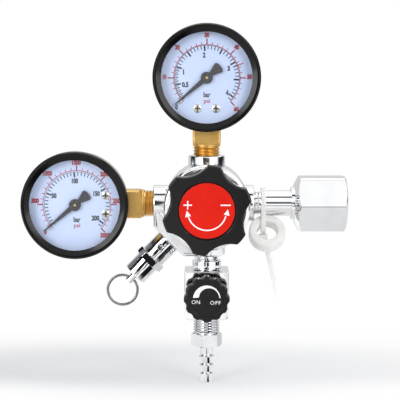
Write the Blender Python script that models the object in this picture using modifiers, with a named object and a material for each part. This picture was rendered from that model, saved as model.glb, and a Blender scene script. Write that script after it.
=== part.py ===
"""Carbon dioxide regulator for a gas cylinder, as an assembly of separate pieces.

Metres, +Z up. The front, with the knobs and dials, faces -Y. The origin is the centre of the
inlet's sealing face, with the inlet pointing along +X. All pieces are placed from the crossing
of the four ports, which an empty marks.
"""
import math

import bmesh
import bpy
from mathutils import Matrix, Vector

MM = 0.001

# Clearance between pieces that touch, screw together or slide
GAP = 0.3 * MM

# Numbers of sides of the round pieces
SIDES_LARGE = 28
SIDES_MEDIUM = 20
SIDES_SMALL = 12
SIDES_TINY = 8
RING_SIDES = 22
SEAL_SIDES = 14
BALL_SIDES = 12

# Body: four bosses, a round core and a corner web that carries the relief valve
CORE_RADIUS = 21.2 * MM
BOSS_RADIUS = 9.35 * MM
BOSS_CHAMFER = 0.9 * MM
BOSS_ROOT = 5.0 * MM
LEFT_BOSS = 5.8 * MM
RIGHT_BOSS = 2.8 * MM
TOP_BOSS = 3.3 * MM
BOTTOM_BOSS = 5.3 * MM
LEFT_REACH = CORE_RADIUS + LEFT_BOSS
RIGHT_REACH = CORE_RADIUS + RIGHT_BOSS
TOP_REACH = CORE_RADIUS + TOP_BOSS
BOTTOM_REACH = CORE_RADIUS + BOTTOM_BOSS
CORE_FRONT = 12.5 * MM
CORE_BACK = 10.5 * MM
CORE_EDGE = 2.0 * MM
WEB_STAND_OUT = 5.7 * MM
WEB_REACH = CORE_RADIUS + WEB_STAND_OUT
WEB_HALF_DEPTH = 8.6 * MM
WEB_INSET = 0.3 * MM
WEB_EDGE = 1.0 * MM
PORT_THREAD_RADIUS = 6.1 * MM
PORT_DEPTH = 10.0 * MM
PASSAGE_RADIUS = 1.8 * MM
LOW_PASSAGE_BORE = 1.4 * MM
LOW_PASSAGE_INSET = 1.5 * MM

# Diaphragm and the valve under it, as distances in front of the port plane
DIAPHRAGM_WALL = 4.0 * MM
DIAPHRAGM_RADIUS = CORE_RADIUS - DIAPHRAGM_WALL
DIAPHRAGM_SEAT = 8.0 * MM
DIAPHRAGM_THICKNESS = 0.8 * MM
CHAMBER_LEDGE = 3.7 * MM
CHAMBER_RADIUS = DIAPHRAGM_RADIUS - CHAMBER_LEDGE
LOW_PASSAGE_RADIUS = CHAMBER_RADIUS - LOW_PASSAGE_INSET
CHAMBER_FLOOR = 5.0 * MM
PLATE_MARGIN = 3.6 * MM
PLATE_RADIUS = CHAMBER_RADIUS - PLATE_MARGIN
PLATE_THICKNESS = 1.5 * MM
PLATE_BOSS_HEIGHT = 1.6 * MM
CONVOLUTION_INSET = 1.8 * MM
CONVOLUTION_RADIUS = CHAMBER_RADIUS - CONVOLUTION_INSET
CONVOLUTION_HALF_WIDTH = 1.1 * MM
CONVOLUTION_HEIGHT = 1.0 * MM
FLEX_ROOM = 2.2 * MM
VALVE_BORE_RADIUS = 4.4 * MM
VALVE_BORE_BACK = 8.5 * MM
NOZZLE_FLANGE_RADIUS = 6.0 * MM
NOZZLE_FLANGE_THICKNESS = 1.5 * MM
NOZZLE_END = 2.0 * MM
NOZZLE_BORE = 1.3 * MM
POPPET_RADIUS = 3.2 * MM
POPPET_LENGTH = 3.3 * MM
POPPET_CONE = 0.9 * MM
POPPET_STEM_RADIUS = 0.8 * MM
POPPET_SPRING_WIRE = 0.7 * MM
POPPET_SPRING_TURNS = 3

# Bonnet, range spring and adjusting screw
BONNET_FRONT = 27.0 * MM
BONNET_EDGE = 1.8 * MM
BONNET_LEDGE = 2.9 * MM
BONNET_BORE = CHAMBER_RADIUS - BONNET_LEDGE
BONNET_WALL = 2.5 * MM
TOWER_WALL = 2.1 * MM
TOWER_RADIUS = BONNET_BORE + TOWER_WALL
TOWER_FRONT = 36.5 * MM
KEY_WIDTH = 3.0 * MM
KEY_DEPTH = 1.1 * MM
RANGE_SPRING_WIRE = 2.4 * MM
RANGE_SPRING_TURNS = 4
SPRING_NUT_THICKNESS = 3.0 * MM
SCREW_RADIUS = 3.9 * MM
SCREW_SHANK_RADIUS = 3.0 * MM
SCREW_COLLAR_RADIUS = 5.6 * MM
SCREW_COLLAR_THICKNESS = 2.0 * MM
SCREW_SQUARE = 4.2 * MM

# Adjusting knob, its red cap and the screw that holds it
KNOB_LOBES = 6
KNOB_OVERHANG = 0.6 * MM
KNOB_LOBE_RADIUS = CORE_RADIUS + KNOB_OVERHANG
KNOB_LOBE_HEIGHT = 3.8 * MM
KNOB_VALLEY_RADIUS = KNOB_LOBE_RADIUS - KNOB_LOBE_HEIGHT
KNOB_SCOOP_RADIUS = 15.4 * MM
KNOB_TURN_DEG = 20.1
KNOB_BACK = 28.3 * MM
KNOB_FRONT = 41.0 * MM
KNOB_EDGE = 1.1 * MM
KNOB_CAVITY_ROOM = 0.9 * MM
KNOB_CAVITY_RADIUS = TOWER_RADIUS + KNOB_CAVITY_ROOM
KNOB_FACE_WIDTH = 4.9 * MM
CAP_RADIUS = KNOB_VALLEY_RADIUS - KNOB_FACE_WIDTH
CAP_THICKNESS = 0.9 * MM
CAP_RECESS = 1.6 * MM
KNOB_SCREW_RADIUS = 1.2 * MM
KNOB_SCREW_HEAD_RADIUS = 3.5 * MM
KNOB_SCREW_POCKET = 1.1 * MM
KNOB_SCREW_HEAD = 0.8 * MM
KNOB_SCREW_LENGTH = 4.0 * MM

# Inlet, as distances along +X from the port crossing
INLET_LENGTH = 40.5 * MM
INLET_NECK = 3.5 * MM
INLET_FACE = RIGHT_REACH + INLET_LENGTH
INLET_NECK_END = RIGHT_REACH + INLET_NECK
INLET_TUBE_RADIUS = 6.6 * MM
INLET_BORE = 1.8 * MM
INLET_COLLAR_RADIUS = 9.4 * MM
INLET_COLLAR_THICKNESS = 3.0 * MM
INLET_NOSE_RADIUS = 7.6 * MM
FILTER_RADIUS = 3.4 * MM
FILTER_LENGTH = 6.0 * MM
FILTER_RECESS = 0.8 * MM
NUT_OVERLAP = 20.2 * MM
NUT_BACK = INLET_FACE - NUT_OVERLAP
NUT_LENGTH = 26.2 * MM
NUT_FLATS = 27.0 * MM
NUT_THREAD_RADIUS = 10.1 * MM
NUT_BACK_WALL = 7.0 * MM
NUT_CHAMFER = 1.4 * MM
NUT_LIP_RADIUS = 8.4 * MM
NUT_LIP_LENGTH = 1.6 * MM

# Spare sealing washer and the tie that holds it to the inlet tube
WASHER_OUTER_RADIUS = 9.15 * MM
WASHER_INNER_RADIUS = 5.2 * MM
WASHER_THICKNESS = 6.0 * MM
WASHER_EDGE = 1.6 * MM
WASHER_TILT_DEG = 37.0
WASHER_CENTRE_X = 31.0 * MM
WASHER_FORWARD = 4.0 * MM
WASHER_DROP = 15.4 * MM
TIE_OFFSET = 2.3 * MM
TIE_WIDTH = 2.4 * MM
TIE_THICKNESS = 1.1 * MM
TIE_LOWER_RADIUS = 4.3 * MM
TIE_HEAD_WIDTH = 4.4 * MM
TIE_HEAD_DEPTH = 4.0 * MM
TIE_HEAD_HEIGHT = 3.4 * MM
TIE_TAIL_DROP = 32.0 * MM
TIE_TAIL_DRIFT = 6.5 * MM
TIE_TAIL_BOW = 2.0 * MM
TIE_TAIL_TIP = 1.3 * MM

# Outlet: nipple, shut-off block, needle, gland and knob
OUTLET_COLLAR_RADIUS = 7.35 * MM
OUTLET_NECK = 2.5 * MM
OUTLET_COLLAR_LENGTH = 4.3 * MM
OUTLET_THREAD_RADIUS = 5.5 * MM
OUTLET_BORE = 2.4 * MM
BLOCK_WIDTH = 22.4 * MM
BLOCK_HEIGHT = 24.8 * MM
BLOCK_DEPTH = 21.0 * MM
BLOCK_CORNER = 2.6 * MM
BLOCK_EDGE = 0.7 * MM
BLOCK_PORT_DEPTH = 7.5 * MM
STEM_DROP = 12.1 * MM
STEM_BORE = 3.8 * MM
STEM_SEAT = 3.2 * MM
STEM_FEED_OFFSET = 4.4 * MM
STEM_FEED_RADIUS = 1.1 * MM
STEM_ORIFICE = 1.4 * MM
STEM_THREAD_RADIUS = 3.5 * MM
STEM_RADIUS = 2.2 * MM
STEM_GROOVE_RADIUS = 1.8 * MM
STEM_GROOVE_BACK = 8.6 * MM
STEM_LAND_LENGTH = 0.8 * MM
STEM_TIP_RADIUS = 0.5 * MM
STEM_IN_KNOB = 5.4 * MM
STEM_CONE = 2.2 * MM
STEM_LIFT = 0.75 * MM
ORING_WIRE_RADIUS = 0.7 * MM
GLAND_FLATS = 13.0 * MM
GLAND_FRONT = 3.6 * MM
GLAND_SPIGOT_RADIUS = 5.2 * MM
GLAND_SPIGOT_LENGTH = 3.2 * MM
GLAND_LIP = 2.0 * MM
FLOW_KNOB_LOBES = 12
FLOW_KNOB_LOBE_RADIUS = 11.4 * MM
FLOW_KNOB_VALLEY_RADIUS = 10.6 * MM
FLOW_KNOB_SCOOP_RADIUS = 2.8 * MM
FLOW_KNOB_LENGTH = 8.0 * MM
FLOW_KNOB_EDGE = 0.8 * MM
FLOW_KNOB_CAVITY_RADIUS = 8.6 * MM
FLOW_KNOB_CAVITY_DEPTH = 4.5 * MM
FLOW_KNOB_HUB_RADIUS = 4.2 * MM
FLOW_KNOB_RIM_RADIUS = 8.5 * MM
FLOW_KNOB_RIM_DEPTH = 0.3 * MM

# Hose barb with its check ball
BARB_THREAD_RADIUS = 6.58 * MM
BARB_THREAD_SHOWN = 8.2 * MM
BARB_SOCKET_DEPTH = 7.9 * MM
BARB_HEX_FLATS = 14.0 * MM
BARB_HEX_LENGTH = 6.7 * MM
BARB_HEX_CHAMFER = 0.8 * MM
BARB_HEX_TURN_DEG = 49.0
BARB_NECK_LENGTH = 5.2 * MM
BARB_PITCH = 4.5 * MM
BARB_NECK_RADIUS = 3.2 * MM
BARB_RIDGE_RADIUS = 3.85 * MM
BARB_TIP_RADIUS = 2.8 * MM
BARB_TAPER = 0.25 * MM
BARB_RIDGES = 3
BARB_BORE = 1.9 * MM
CHECK_BORE = 3.3 * MM
CHECK_DEPTH = 10.0 * MM
CHECK_SEAT_RADIUS = 1.6 * MM
BALL_RADIUS = 2.6 * MM
CHECK_SPRING_RADIUS = 1.8 * MM
CHECK_SPRING_WIRE = 0.5 * MM
CHECK_SPRING_TURNS = 3

# Relief valve on the corner web, as distances along its axis from the port crossing
RELIEF_THREAD_RADIUS = 4.8 * MM
RELIEF_THREAD_LENGTH = 8.5 * MM
RELIEF_BARREL_RADIUS = 6.65 * MM
RELIEF_BARREL_LENGTH = 11.5 * MM
RELIEF_BARREL_END = WEB_REACH + RELIEF_BARREL_LENGTH
RELIEF_VENT_RADIUS = 1.4 * MM
RELIEF_VENT_OUT = 4.7 * MM
RELIEF_VENT_AT = WEB_REACH + RELIEF_VENT_OUT
RELIEF_BORE = 4.7 * MM
RELIEF_HEX_WIDTH = 15.6 * MM
RELIEF_HEX_LENGTH = 3.4 * MM
RELIEF_CAP_RADIUS = 6.4 * MM
RELIEF_CAP_LENGTH = 13.2 * MM
RELIEF_CAP_END = RELIEF_BARREL_END + RELIEF_CAP_LENGTH
RELIEF_CAP_WALL = 2.0 * MM
RELIEF_CAP_EDGE = 0.6 * MM
RELIEF_SEAT_DEPTH = 2.3 * MM
RELIEF_SEAT = WEB_REACH + RELIEF_SEAT_DEPTH
RELIEF_SPIGOT_RADIUS = 4.4 * MM
RELIEF_SPIGOT_LENGTH = 2.3 * MM
RELIEF_CAP_BORE = 3.7 * MM
RELIEF_DISC_RADIUS = 4.2 * MM
RELIEF_DISC_THICKNESS = 2.0 * MM
RELIEF_STEM_RADIUS = 2.0 * MM
RELIEF_STEM_OUT = 5.0 * MM
RELIEF_STEM_END = RELIEF_CAP_END + RELIEF_STEM_OUT
RELIEF_HOLE_BACK = 2.4 * MM
RELIEF_HOLE_AT = RELIEF_STEM_END - RELIEF_HOLE_BACK
RELIEF_HOLE_RADIUS = 1.45 * MM
RELIEF_SPRING_WIRE = 0.9 * MM
RELIEF_SPRING_TURNS = 4
RING_RADIUS = 7.6 * MM
RING_WIRE_RADIUS = 0.65 * MM
RING_LEAN_DEG = 8.0

# Pressure gauges, as distances from the dial's centre and in front of the stem's axis
CASE_RADIUS = 25.8 * MM
GAUGE_NECK = 4.0 * MM
GAUGE_BLOCK_OUT = 9.2 * MM
GAUGE_BLOCK_END = CASE_RADIUS + GAUGE_BLOCK_OUT
GAUGE_STEM = GAUGE_BLOCK_END + GAUGE_NECK
GAUGE_BLOCK_WIDTH = 14.0 * MM
GAUGE_BLOCK_EDGE = 1.0 * MM
GAUGE_BORE = 1.5 * MM
CASE_WALL = 1.0 * MM
CASE_BACK = 11.0 * MM
CASE_EDGE = 2.4 * MM
BEZEL_WALL = 1.1 * MM
BEZEL_COVER = 2.8 * MM
BEZEL_RADIUS = CASE_RADIUS + BEZEL_WALL
BEZEL_OPENING = CASE_RADIUS - BEZEL_COVER
BEZEL_FRONT = 14.0 * MM
BEZEL_LIP = 1.3 * MM
BEZEL_EDGE = 0.9 * MM
WINDOW_THICKNESS = 1.8 * MM
DIAL_FRONT = 8.1 * MM
DIAL_THICKNESS = 0.8 * MM
DIAL_HOLE = 1.5 * MM
POINTER_ZERO_DEG = 220.0
POINTER_MARGIN = 2.4 * MM
POINTER_TIP = BEZEL_OPENING - POINTER_MARGIN
POINTER_HALF_WIDTH = 1.1 * MM
POINTER_TAIL = 8.5 * MM
POINTER_TAIL_HALF_WIDTH = 3.0 * MM
POINTER_THICKNESS = 0.6 * MM
POINTER_HUB_RADIUS = 3.0 * MM
POINTER_HUB_LENGTH = 1.4 * MM
POINTER_LIFT = 0.6 * MM
STAFF_RADIUS = 0.65 * MM
MOVEMENT_PLATE = 0.8 * MM
MOVEMENT_HALF_WIDTH = 3.9 * MM
MOVEMENT_BACK = 0.4 * MM
MOVEMENT_FRONT = 6.6 * MM
PILLAR_RADIUS = 1.0 * MM
PILLARS = ((5.0 * MM, 1.2 * MM), (2.8 * MM, -13.5 * MM))
FRONT_PLATE_REACH = 6.5 * MM
SOCKET_STEP_INSET = 1.0 * MM
BORE_END = 15.0 * MM
TUBE_FEED_RADIUS = 0.9 * MM
SOCKET_STEP = 9.5 * MM
SOCKET_PAD = 13.5 * MM
GEAR_CENTRES = 12.0 * MM
PINION_TEETH = 10
SECTOR_RATIO = 9
SECTOR_TEETH = 12
TOOTH_ADDENDUM = 0.8
TOOTH_DEDENDUM = 1.2
TOOTH_TIP_SHARE = 0.10
TOOTH_ROOT_SHARE = 0.27
SECTOR_THICKNESS = 1.0 * MM
SECTOR_BACK = 3.5 * MM
SECTOR_TAIL = 6.0 * MM
SECTOR_HUB_RADIUS = 2.0 * MM
PINION_BACK = 2.9 * MM
PINION_LENGTH = 2.2 * MM
SECTOR_ARM_HALF_WIDTH = 1.3 * MM
LINK_THICKNESS = 0.6 * MM
LINK_HALF_WIDTH = 1.0 * MM
TUBE_RADIUS = 18.0 * MM
TUBE_HALF_DEPTH = 3.0 * MM
TUBE_HALF_THICKNESS = 1.1 * MM
TUBE_MIDDLE = 1.5 * MM
TUBE_END_DEG = 271.0

FRONT = Vector((0, -1, 0))
RIGHT = Vector((1, 0, 0))
LEFT = Vector((-1, 0, 0))
UP = Vector((0, 0, 1))
DOWN = Vector((0, 0, -1))
RELIEF_AXIS = Vector((-1, 0, -1)).normalized()

GAUGES = {
    "low_pressure_gauge": (UP, TOP_REACH),
    "high_pressure_gauge": (LEFT, LEFT_REACH),
}


def clear_scene():
    """Remove every object that the file starts with."""
    for obj in list(bpy.data.objects):
        bpy.data.objects.remove(obj, do_unlink=True)


def new_collection(name):
    """A collection linked to the scene."""
    collection = bpy.data.collections.new(name)
    bpy.context.scene.collection.children.link(collection)
    return collection


def new_material(name, hex_colour, roughness, metallic, alpha=1.0):
    """A plain Principled material from an sRGB colour."""
    channels = [int(hex_colour[i:i + 2], 16) / 255 for i in (1, 3, 5)]
    linear = [c / 12.92 if c <= 0.04045 else ((c + 0.055) / 1.055) ** 2.4 for c in channels]
    material = bpy.data.materials.new(name)
    material.use_nodes = True
    shader = material.node_tree.nodes["Principled BSDF"]
    shader.inputs["Base Color"].default_value = (*linear, 1.0)
    shader.inputs["Roughness"].default_value = roughness
    shader.inputs["Metallic"].default_value = metallic
    shader.inputs["Alpha"].default_value = alpha
    material.diffuse_color = (*linear, alpha)
    return material


clear_scene()
PARTS = new_collection("carbon_dioxide_regulator")
CUTTERS = new_collection("cutters")
CROSSING = bpy.data.objects.new("port_crossing", None)
PARTS.objects.link(CROSSING)
CROSSING.location = (-INLET_FACE, 0, 0)

CHROME = new_material("chrome", "#D9DADB", 0.08, 1.0)
BRASS = new_material("brass", "#C9963A", 0.25, 1.0)
STEEL = new_material("steel", "#B9BBBE", 0.3, 1.0)
BLACK_PLASTIC = new_material("black_plastic", "#1B1B1D", 0.4, 0.0)
RED_PLASTIC = new_material("red_plastic", "#EE2E1A", 0.35, 0.0)
RUBBER = new_material("black_rubber", "#161616", 0.7, 0.0)
NYLON = new_material("white_nylon", "#EFEFEC", 0.45, 0.0)
BLACK_PAINT = new_material("black_paint", "#121314", 0.3, 0.0)
GREY_PAINT = new_material("grey_paint", "#A9ABAD", 0.4, 0.6)
CLEAR_PLASTIC = new_material("clear_plastic", "#F4F8FA", 0.05, 0.0, 0.3)
DIAL_PAINT = new_material("dial_paint", "#D6E2FA", 0.5, 0.0)
SINTERED_BRONZE = new_material("sintered_bronze", "#A87B3F", 0.8, 0.8)


def facing(direction, turn=0.0):
    """Rotation whose local Z is the direction, turned by an angle about it."""
    return direction.to_track_quat("Z", "Y").to_matrix() @ Matrix.Rotation(turn, 3, "Z")


def place(obj, at, direction, turn=0.0):
    """Set an object's place and the direction of its local Z."""
    obj.location = at
    obj.rotation_euler = facing(direction, turn).to_euler()


def finish(obj, material):
    """Make an object one of the model's parts."""
    PARTS.objects.link(obj)
    obj.parent = CROSSING
    obj.data.materials.clear()
    obj.data.materials.append(material)
    obj.data.shade_smooth()
    obj.data.set_sharp_from_angle(angle=math.radians(35))
    return obj


def helper(obj):
    """Make an object a hidden shape that others are cut with or joined to."""
    CUTTERS.objects.link(obj)
    obj.parent = CROSSING
    obj.hide_render = True
    obj.display_type = "WIRE"
    return obj


def arc(centre, radius, start_deg, end_deg, steps):
    """Points of an arc, ends included."""
    angles = [math.radians(start_deg + (end_deg - start_deg) * i / steps) for i in range(steps + 1)]
    return [(centre[0] + radius * math.cos(a), centre[1] + radius * math.sin(a)) for a in angles]


def ring_points(radius, count):
    """Evenly spaced points round a circle, in a flat plane."""
    return [(x, y, 0) for x, y in arc((0, 0), radius, 0, 360 - 360 / count, count - 1)]


def turned(name, profile, at, direction, sides):
    """A turned shape. Its profile of radius and height runs down the outer side."""
    mesh = bpy.data.meshes.new(name)
    verts = [(radius, 0, height) for radius, height in profile]
    edges = [(i, i + 1) for i in range(len(verts) - 1)]
    if profile[0][0] > 0:
        edges.append((len(verts) - 1, 0))
    mesh.from_pydata(verts, edges, [])
    obj = bpy.data.objects.new(name, mesh)
    screw = obj.modifiers.new("turn", "SCREW")
    screw.steps = sides
    screw.render_steps = sides
    screw.use_merge_vertices = True
    screw.merge_threshold = 0.000001
    screw.use_smooth_shade = True
    place(obj, at, direction)
    return obj


def rod(radius, start, end):
    """Profile of a plain round bar between two heights."""
    return [(0, end), (radius, end), (radius, start), (0, start)]


def tube(inner, outer, start, end):
    """Profile of a plain ring between two heights."""
    return [(outer, end), (outer, start), (inner, start), (inner, end)]


def mesh_copy(obj):
    """A curve object as a welded mesh object of the same name and place."""
    bpy.context.scene.collection.objects.link(obj)
    bpy.context.view_layer.update()
    evaluated = obj.evaluated_get(bpy.context.evaluated_depsgraph_get())
    mesh = bpy.data.meshes.new_from_object(evaluated)
    work = bmesh.new()
    work.from_mesh(mesh)
    bmesh.ops.remove_doubles(work, verts=work.verts, dist=0.000001)
    bmesh.ops.recalc_face_normals(work, faces=work.faces)
    work.to_mesh(mesh)
    work.free()
    name = obj.name
    matrix = obj.matrix_world.copy()
    bpy.data.objects.remove(obj, do_unlink=True)
    solid = bpy.data.objects.new(name, mesh)
    solid.matrix_world = matrix
    return solid


def flat(name, outlines, thickness, at, direction, turn=0.0):
    """A plate of the given outlines, its thickness centred on its place."""
    curve = bpy.data.curves.new(name, "CURVE")
    curve.dimensions = "2D"
    curve.fill_mode = "BOTH"
    curve.extrude = thickness / 2
    for outline in outlines:
        spline = curve.splines.new("POLY")
        spline.points.add(len(outline) - 1)
        spline.use_cyclic_u = True
        for point, (x, y) in zip(spline.points, outline):
            point.co = (x, y, 0, 1)
    obj = bpy.data.objects.new(name, curve)
    place(obj, at, direction, turn)
    return mesh_copy(obj)


def wire(name, points, radius, at, direction, cyclic=False):
    """A round wire along points, as a welded mesh."""
    curve = bpy.data.curves.new(name, "CURVE")
    curve.dimensions = "3D"
    curve.bevel_depth = radius
    curve.bevel_resolution = 2
    curve.use_fill_caps = not cyclic
    spline = curve.splines.new("POLY")
    spline.points.add(len(points) - 1)
    spline.use_cyclic_u = cyclic
    for point, co in zip(spline.points, points):
        point.co = (*co, 1)
    obj = bpy.data.objects.new(name, curve)
    place(obj, at, direction)
    return mesh_copy(obj)


def coil(name, radius, wire_size, start, end, turns, at, direction, points_per_turn=10):
    """A compression spring that fills the space between two heights."""
    rise = end - start - wire_size
    count = turns * points_per_turn
    points = []
    for i in range(count + 1):
        angle = math.tau * i / points_per_turn
        height = start + wire_size / 2 + rise * i / count
        points.append((radius * math.cos(angle), radius * math.sin(angle), height))
    return wire(name, points, wire_size / 2, at, direction)


def box(name, size, at, direction=UP, turn=0.0):
    """A plain box, centred on its place."""
    mesh = bpy.data.meshes.new(name)
    work = bmesh.new()
    bmesh.ops.create_cube(work, size=1.0, matrix=Matrix.Diagonal((*size, 1.0)))
    work.to_mesh(mesh)
    work.free()
    obj = bpy.data.objects.new(name, mesh)
    place(obj, at, direction, turn)
    return obj


def hexagon(flats):
    """Outline of a hexagon with a corner on its first axis."""
    corner = flats / math.sqrt(3)
    return arc((0, 0), corner, 0, 300, 5)


def combine(obj, tool, operation):
    """Cut an object with a hidden shape or join the shape to it."""
    boolean = obj.modifiers.new(operation.lower(), "BOOLEAN")
    boolean.object = helper(tool)
    boolean.operation = operation
    boolean.solver = "EXACT"


def cut(obj, tool):
    combine(obj, tool, "DIFFERENCE")


def join(obj, tool):
    combine(obj, tool, "UNION")


def soften(obj, width, segments=1, angle_deg=35):
    """Bevel the sharp edges of an object."""
    bevel = obj.modifiers.new("edges", "BEVEL")
    bevel.width = width
    bevel.segments = segments
    bevel.limit_method = "ANGLE"
    bevel.angle_limit = math.radians(angle_deg)


def drill(obj, name, radius, start, end, direction, at=(0, 0, 0), sides=SIDES_TINY):
    """Bore a round hole along a direction between two distances from a place."""
    cut(obj, turned(name, rod(radius, start, end), at, direction, sides))


def lobed_outline(lobes, lobe_radius, valley_radius, scoop_radius, steps, turn_deg):
    """Outline of a knob with round valleys scooped between its lobes."""
    centre = valley_radius + scoop_radius
    reach = (centre ** 2 + lobe_radius ** 2 - scoop_radius ** 2) / (2 * centre * lobe_radius)
    half_angle = math.acos(reach)
    corner_y = lobe_radius * math.sin(half_angle)
    corner_x = centre - lobe_radius * math.cos(half_angle)
    half_scoop = math.atan2(corner_y, corner_x)
    outline = []
    for lobe in range(lobes):
        axis = math.tau * (lobe + 0.5) / lobes + math.radians(turn_deg)
        for i in range(steps + 1):
            swing = half_scoop * (1 - 2 * i / steps)
            x = centre - scoop_radius * math.cos(swing)
            y = -scoop_radius * math.sin(swing)
            outline.append((x * math.cos(axis) - y * math.sin(axis),
                            x * math.sin(axis) + y * math.cos(axis)))
        top = axis + math.pi / lobes
        outline.append((lobe_radius * math.cos(top), lobe_radius * math.sin(top)))
    return outline


def corner(radius, height, edge):
    """Two profile points that cut the corner at a radius and height."""
    return [(radius - edge, height), (radius, height - edge)]


# Distances in front of the port plane that several pieces share
DIAPHRAGM_BACK = DIAPHRAGM_SEAT + GAP
DIAPHRAGM_FRONT = DIAPHRAGM_BACK + DIAPHRAGM_THICKNESS
SPIGOT_END = DIAPHRAGM_FRONT + GAP
PLATE_BACK = DIAPHRAGM_FRONT + GAP
PLATE_FRONT = PLATE_BACK + PLATE_THICKNESS
COLLAR_FRONT = TOWER_FRONT - BONNET_WALL - GAP
COLLAR_BACK = COLLAR_FRONT - SCREW_COLLAR_THICKNESS
SPRING_NUT_FRONT = COLLAR_BACK - GAP
SPRING_NUT_BACK = SPRING_NUT_FRONT - SPRING_NUT_THICKNESS
RANGE_SPRING_RADIUS = BONNET_BORE - 2 * GAP - RANGE_SPRING_WIRE / 2
CAP_FLOOR = KNOB_FRONT - CAP_RECESS
KNOB_SCREW_SEAT = CAP_FLOOR - KNOB_SCREW_POCKET
KNOB_CEILING = TOWER_FRONT + GAP
SHANK_BORE = SCREW_SHANK_RADIUS + GAP


def boss(name, reach, direction):
    """A round port boss with a chamfered end."""
    profile = [(0, reach), *corner(BOSS_RADIUS, reach, BOSS_CHAMFER), (BOSS_RADIUS, BOSS_ROOT), (0, BOSS_ROOT)]
    return turned(name, profile, (0, 0, 0), direction, SIDES_MEDIUM)


def port(name, reach, passage_end, direction, thread_radius, depth):
    """A threaded socket with a passage behind it."""
    bore = thread_radius + GAP
    floor = reach - depth
    profile = [(0, reach + MM), (bore, reach + MM), (bore, floor), (PASSAGE_RADIUS, floor),
               (PASSAGE_RADIUS, passage_end), (0, passage_end)]
    return turned(name, profile, (0, 0, 0), direction, SIDES_SMALL)


def corner_web():
    """The flat corner between the left and lower bosses, cut off square to the relief valve."""
    left = LEFT_REACH - WEB_INSET
    bottom = BOTTOM_REACH - WEB_INSET
    diagonal = WEB_REACH * math.sqrt(2)
    outline = [(0, 0), (-left, 0), (-left, left - diagonal), (bottom - diagonal, -bottom), (0, -bottom)]
    web = flat("corner_web", [outline], 2 * WEB_HALF_DEPTH, (0, 0, 0), FRONT)
    soften(web, WEB_EDGE)
    return web


def make_body():
    """The forged body with its ports, valve bore and diaphragm chamber."""
    body = turned("regulator_body", [
        (0, CORE_FRONT), (CORE_RADIUS, CORE_FRONT), (CORE_RADIUS, CORE_EDGE - CORE_BACK),
        (CORE_RADIUS - CORE_EDGE, -CORE_BACK), (0, -CORE_BACK)], (0, 0, 0), FRONT, SIDES_LARGE)
    ports = (("left", LEFT, LEFT_REACH), ("right", RIGHT, RIGHT_REACH), ("top", UP, TOP_REACH),
             ("bottom", DOWN, BOTTOM_REACH))
    for name, direction, reach in ports:
        join(body, boss(name + "_boss", reach, direction))
    join(body, corner_web())
    cut(body, turned("valve_chamber", [
        (0, CORE_FRONT + MM), (DIAPHRAGM_RADIUS + GAP, CORE_FRONT + MM),
        (DIAPHRAGM_RADIUS + GAP, DIAPHRAGM_SEAT), (CHAMBER_RADIUS, DIAPHRAGM_SEAT),
        (CHAMBER_RADIUS, CHAMBER_FLOOR), (VALVE_BORE_RADIUS, CHAMBER_FLOOR),
        (VALVE_BORE_RADIUS, -VALVE_BORE_BACK), (0, -VALVE_BORE_BACK)], (0, 0, 0), FRONT, SIDES_MEDIUM))
    low_end = LOW_PASSAGE_RADIUS - LOW_PASSAGE_BORE
    for name, direction, reach in ports:
        passage_end = VALVE_BORE_RADIUS / 2 if direction in (LEFT, RIGHT) else low_end
        cut(body, port(name + "_port", reach, passage_end, direction, PORT_THREAD_RADIUS, PORT_DEPTH))
    cut(body, port("relief_port", WEB_REACH, low_end, RELIEF_AXIS, RELIEF_THREAD_RADIUS, RELIEF_THREAD_LENGTH))
    for name, direction in (("top", UP), ("bottom", DOWN), ("relief", RELIEF_AXIS)):
        drill(body, name + "_low_passage", LOW_PASSAGE_BORE, 0, CHAMBER_FLOOR + MM, FRONT,
              direction * LOW_PASSAGE_RADIUS)
    finish(body, CHROME)


def make_valve():
    """The nozzle in the body and the sprung poppet that closes it."""
    flange_back = CHAMBER_FLOOR + GAP
    barrel = VALVE_BORE_RADIUS - GAP
    nozzle = turned("valve_nozzle", [
        (NOZZLE_FLANGE_RADIUS, flange_back + NOZZLE_FLANGE_THICKNESS), (NOZZLE_FLANGE_RADIUS, flange_back),
        (barrel, flange_back), (barrel, NOZZLE_END), (NOZZLE_BORE, NOZZLE_END),
        (NOZZLE_BORE, flange_back + NOZZLE_FLANGE_THICKNESS)], (0, 0, 0), FRONT, SIDES_SMALL)
    finish(nozzle, BRASS)
    top = NOZZLE_END - GAP
    end = top - POPPET_LENGTH
    poppet = turned("valve_poppet", [
        (0, DIAPHRAGM_SEAT), (POPPET_STEM_RADIUS, DIAPHRAGM_SEAT), (POPPET_STEM_RADIUS, top),
        (POPPET_RADIUS, top - POPPET_CONE), (POPPET_RADIUS, end), (0, end)], (0, 0, 0), FRONT, SIDES_SMALL)
    finish(poppet, BRASS)
    spring_radius = POPPET_RADIUS - POPPET_SPRING_WIRE / 2
    spring = coil("poppet_spring", spring_radius, POPPET_SPRING_WIRE, GAP - VALVE_BORE_BACK, end - GAP,
                  POPPET_SPRING_TURNS, (0, 0, 0), FRONT, SIDES_TINY)
    finish(spring, STEEL)


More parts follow.
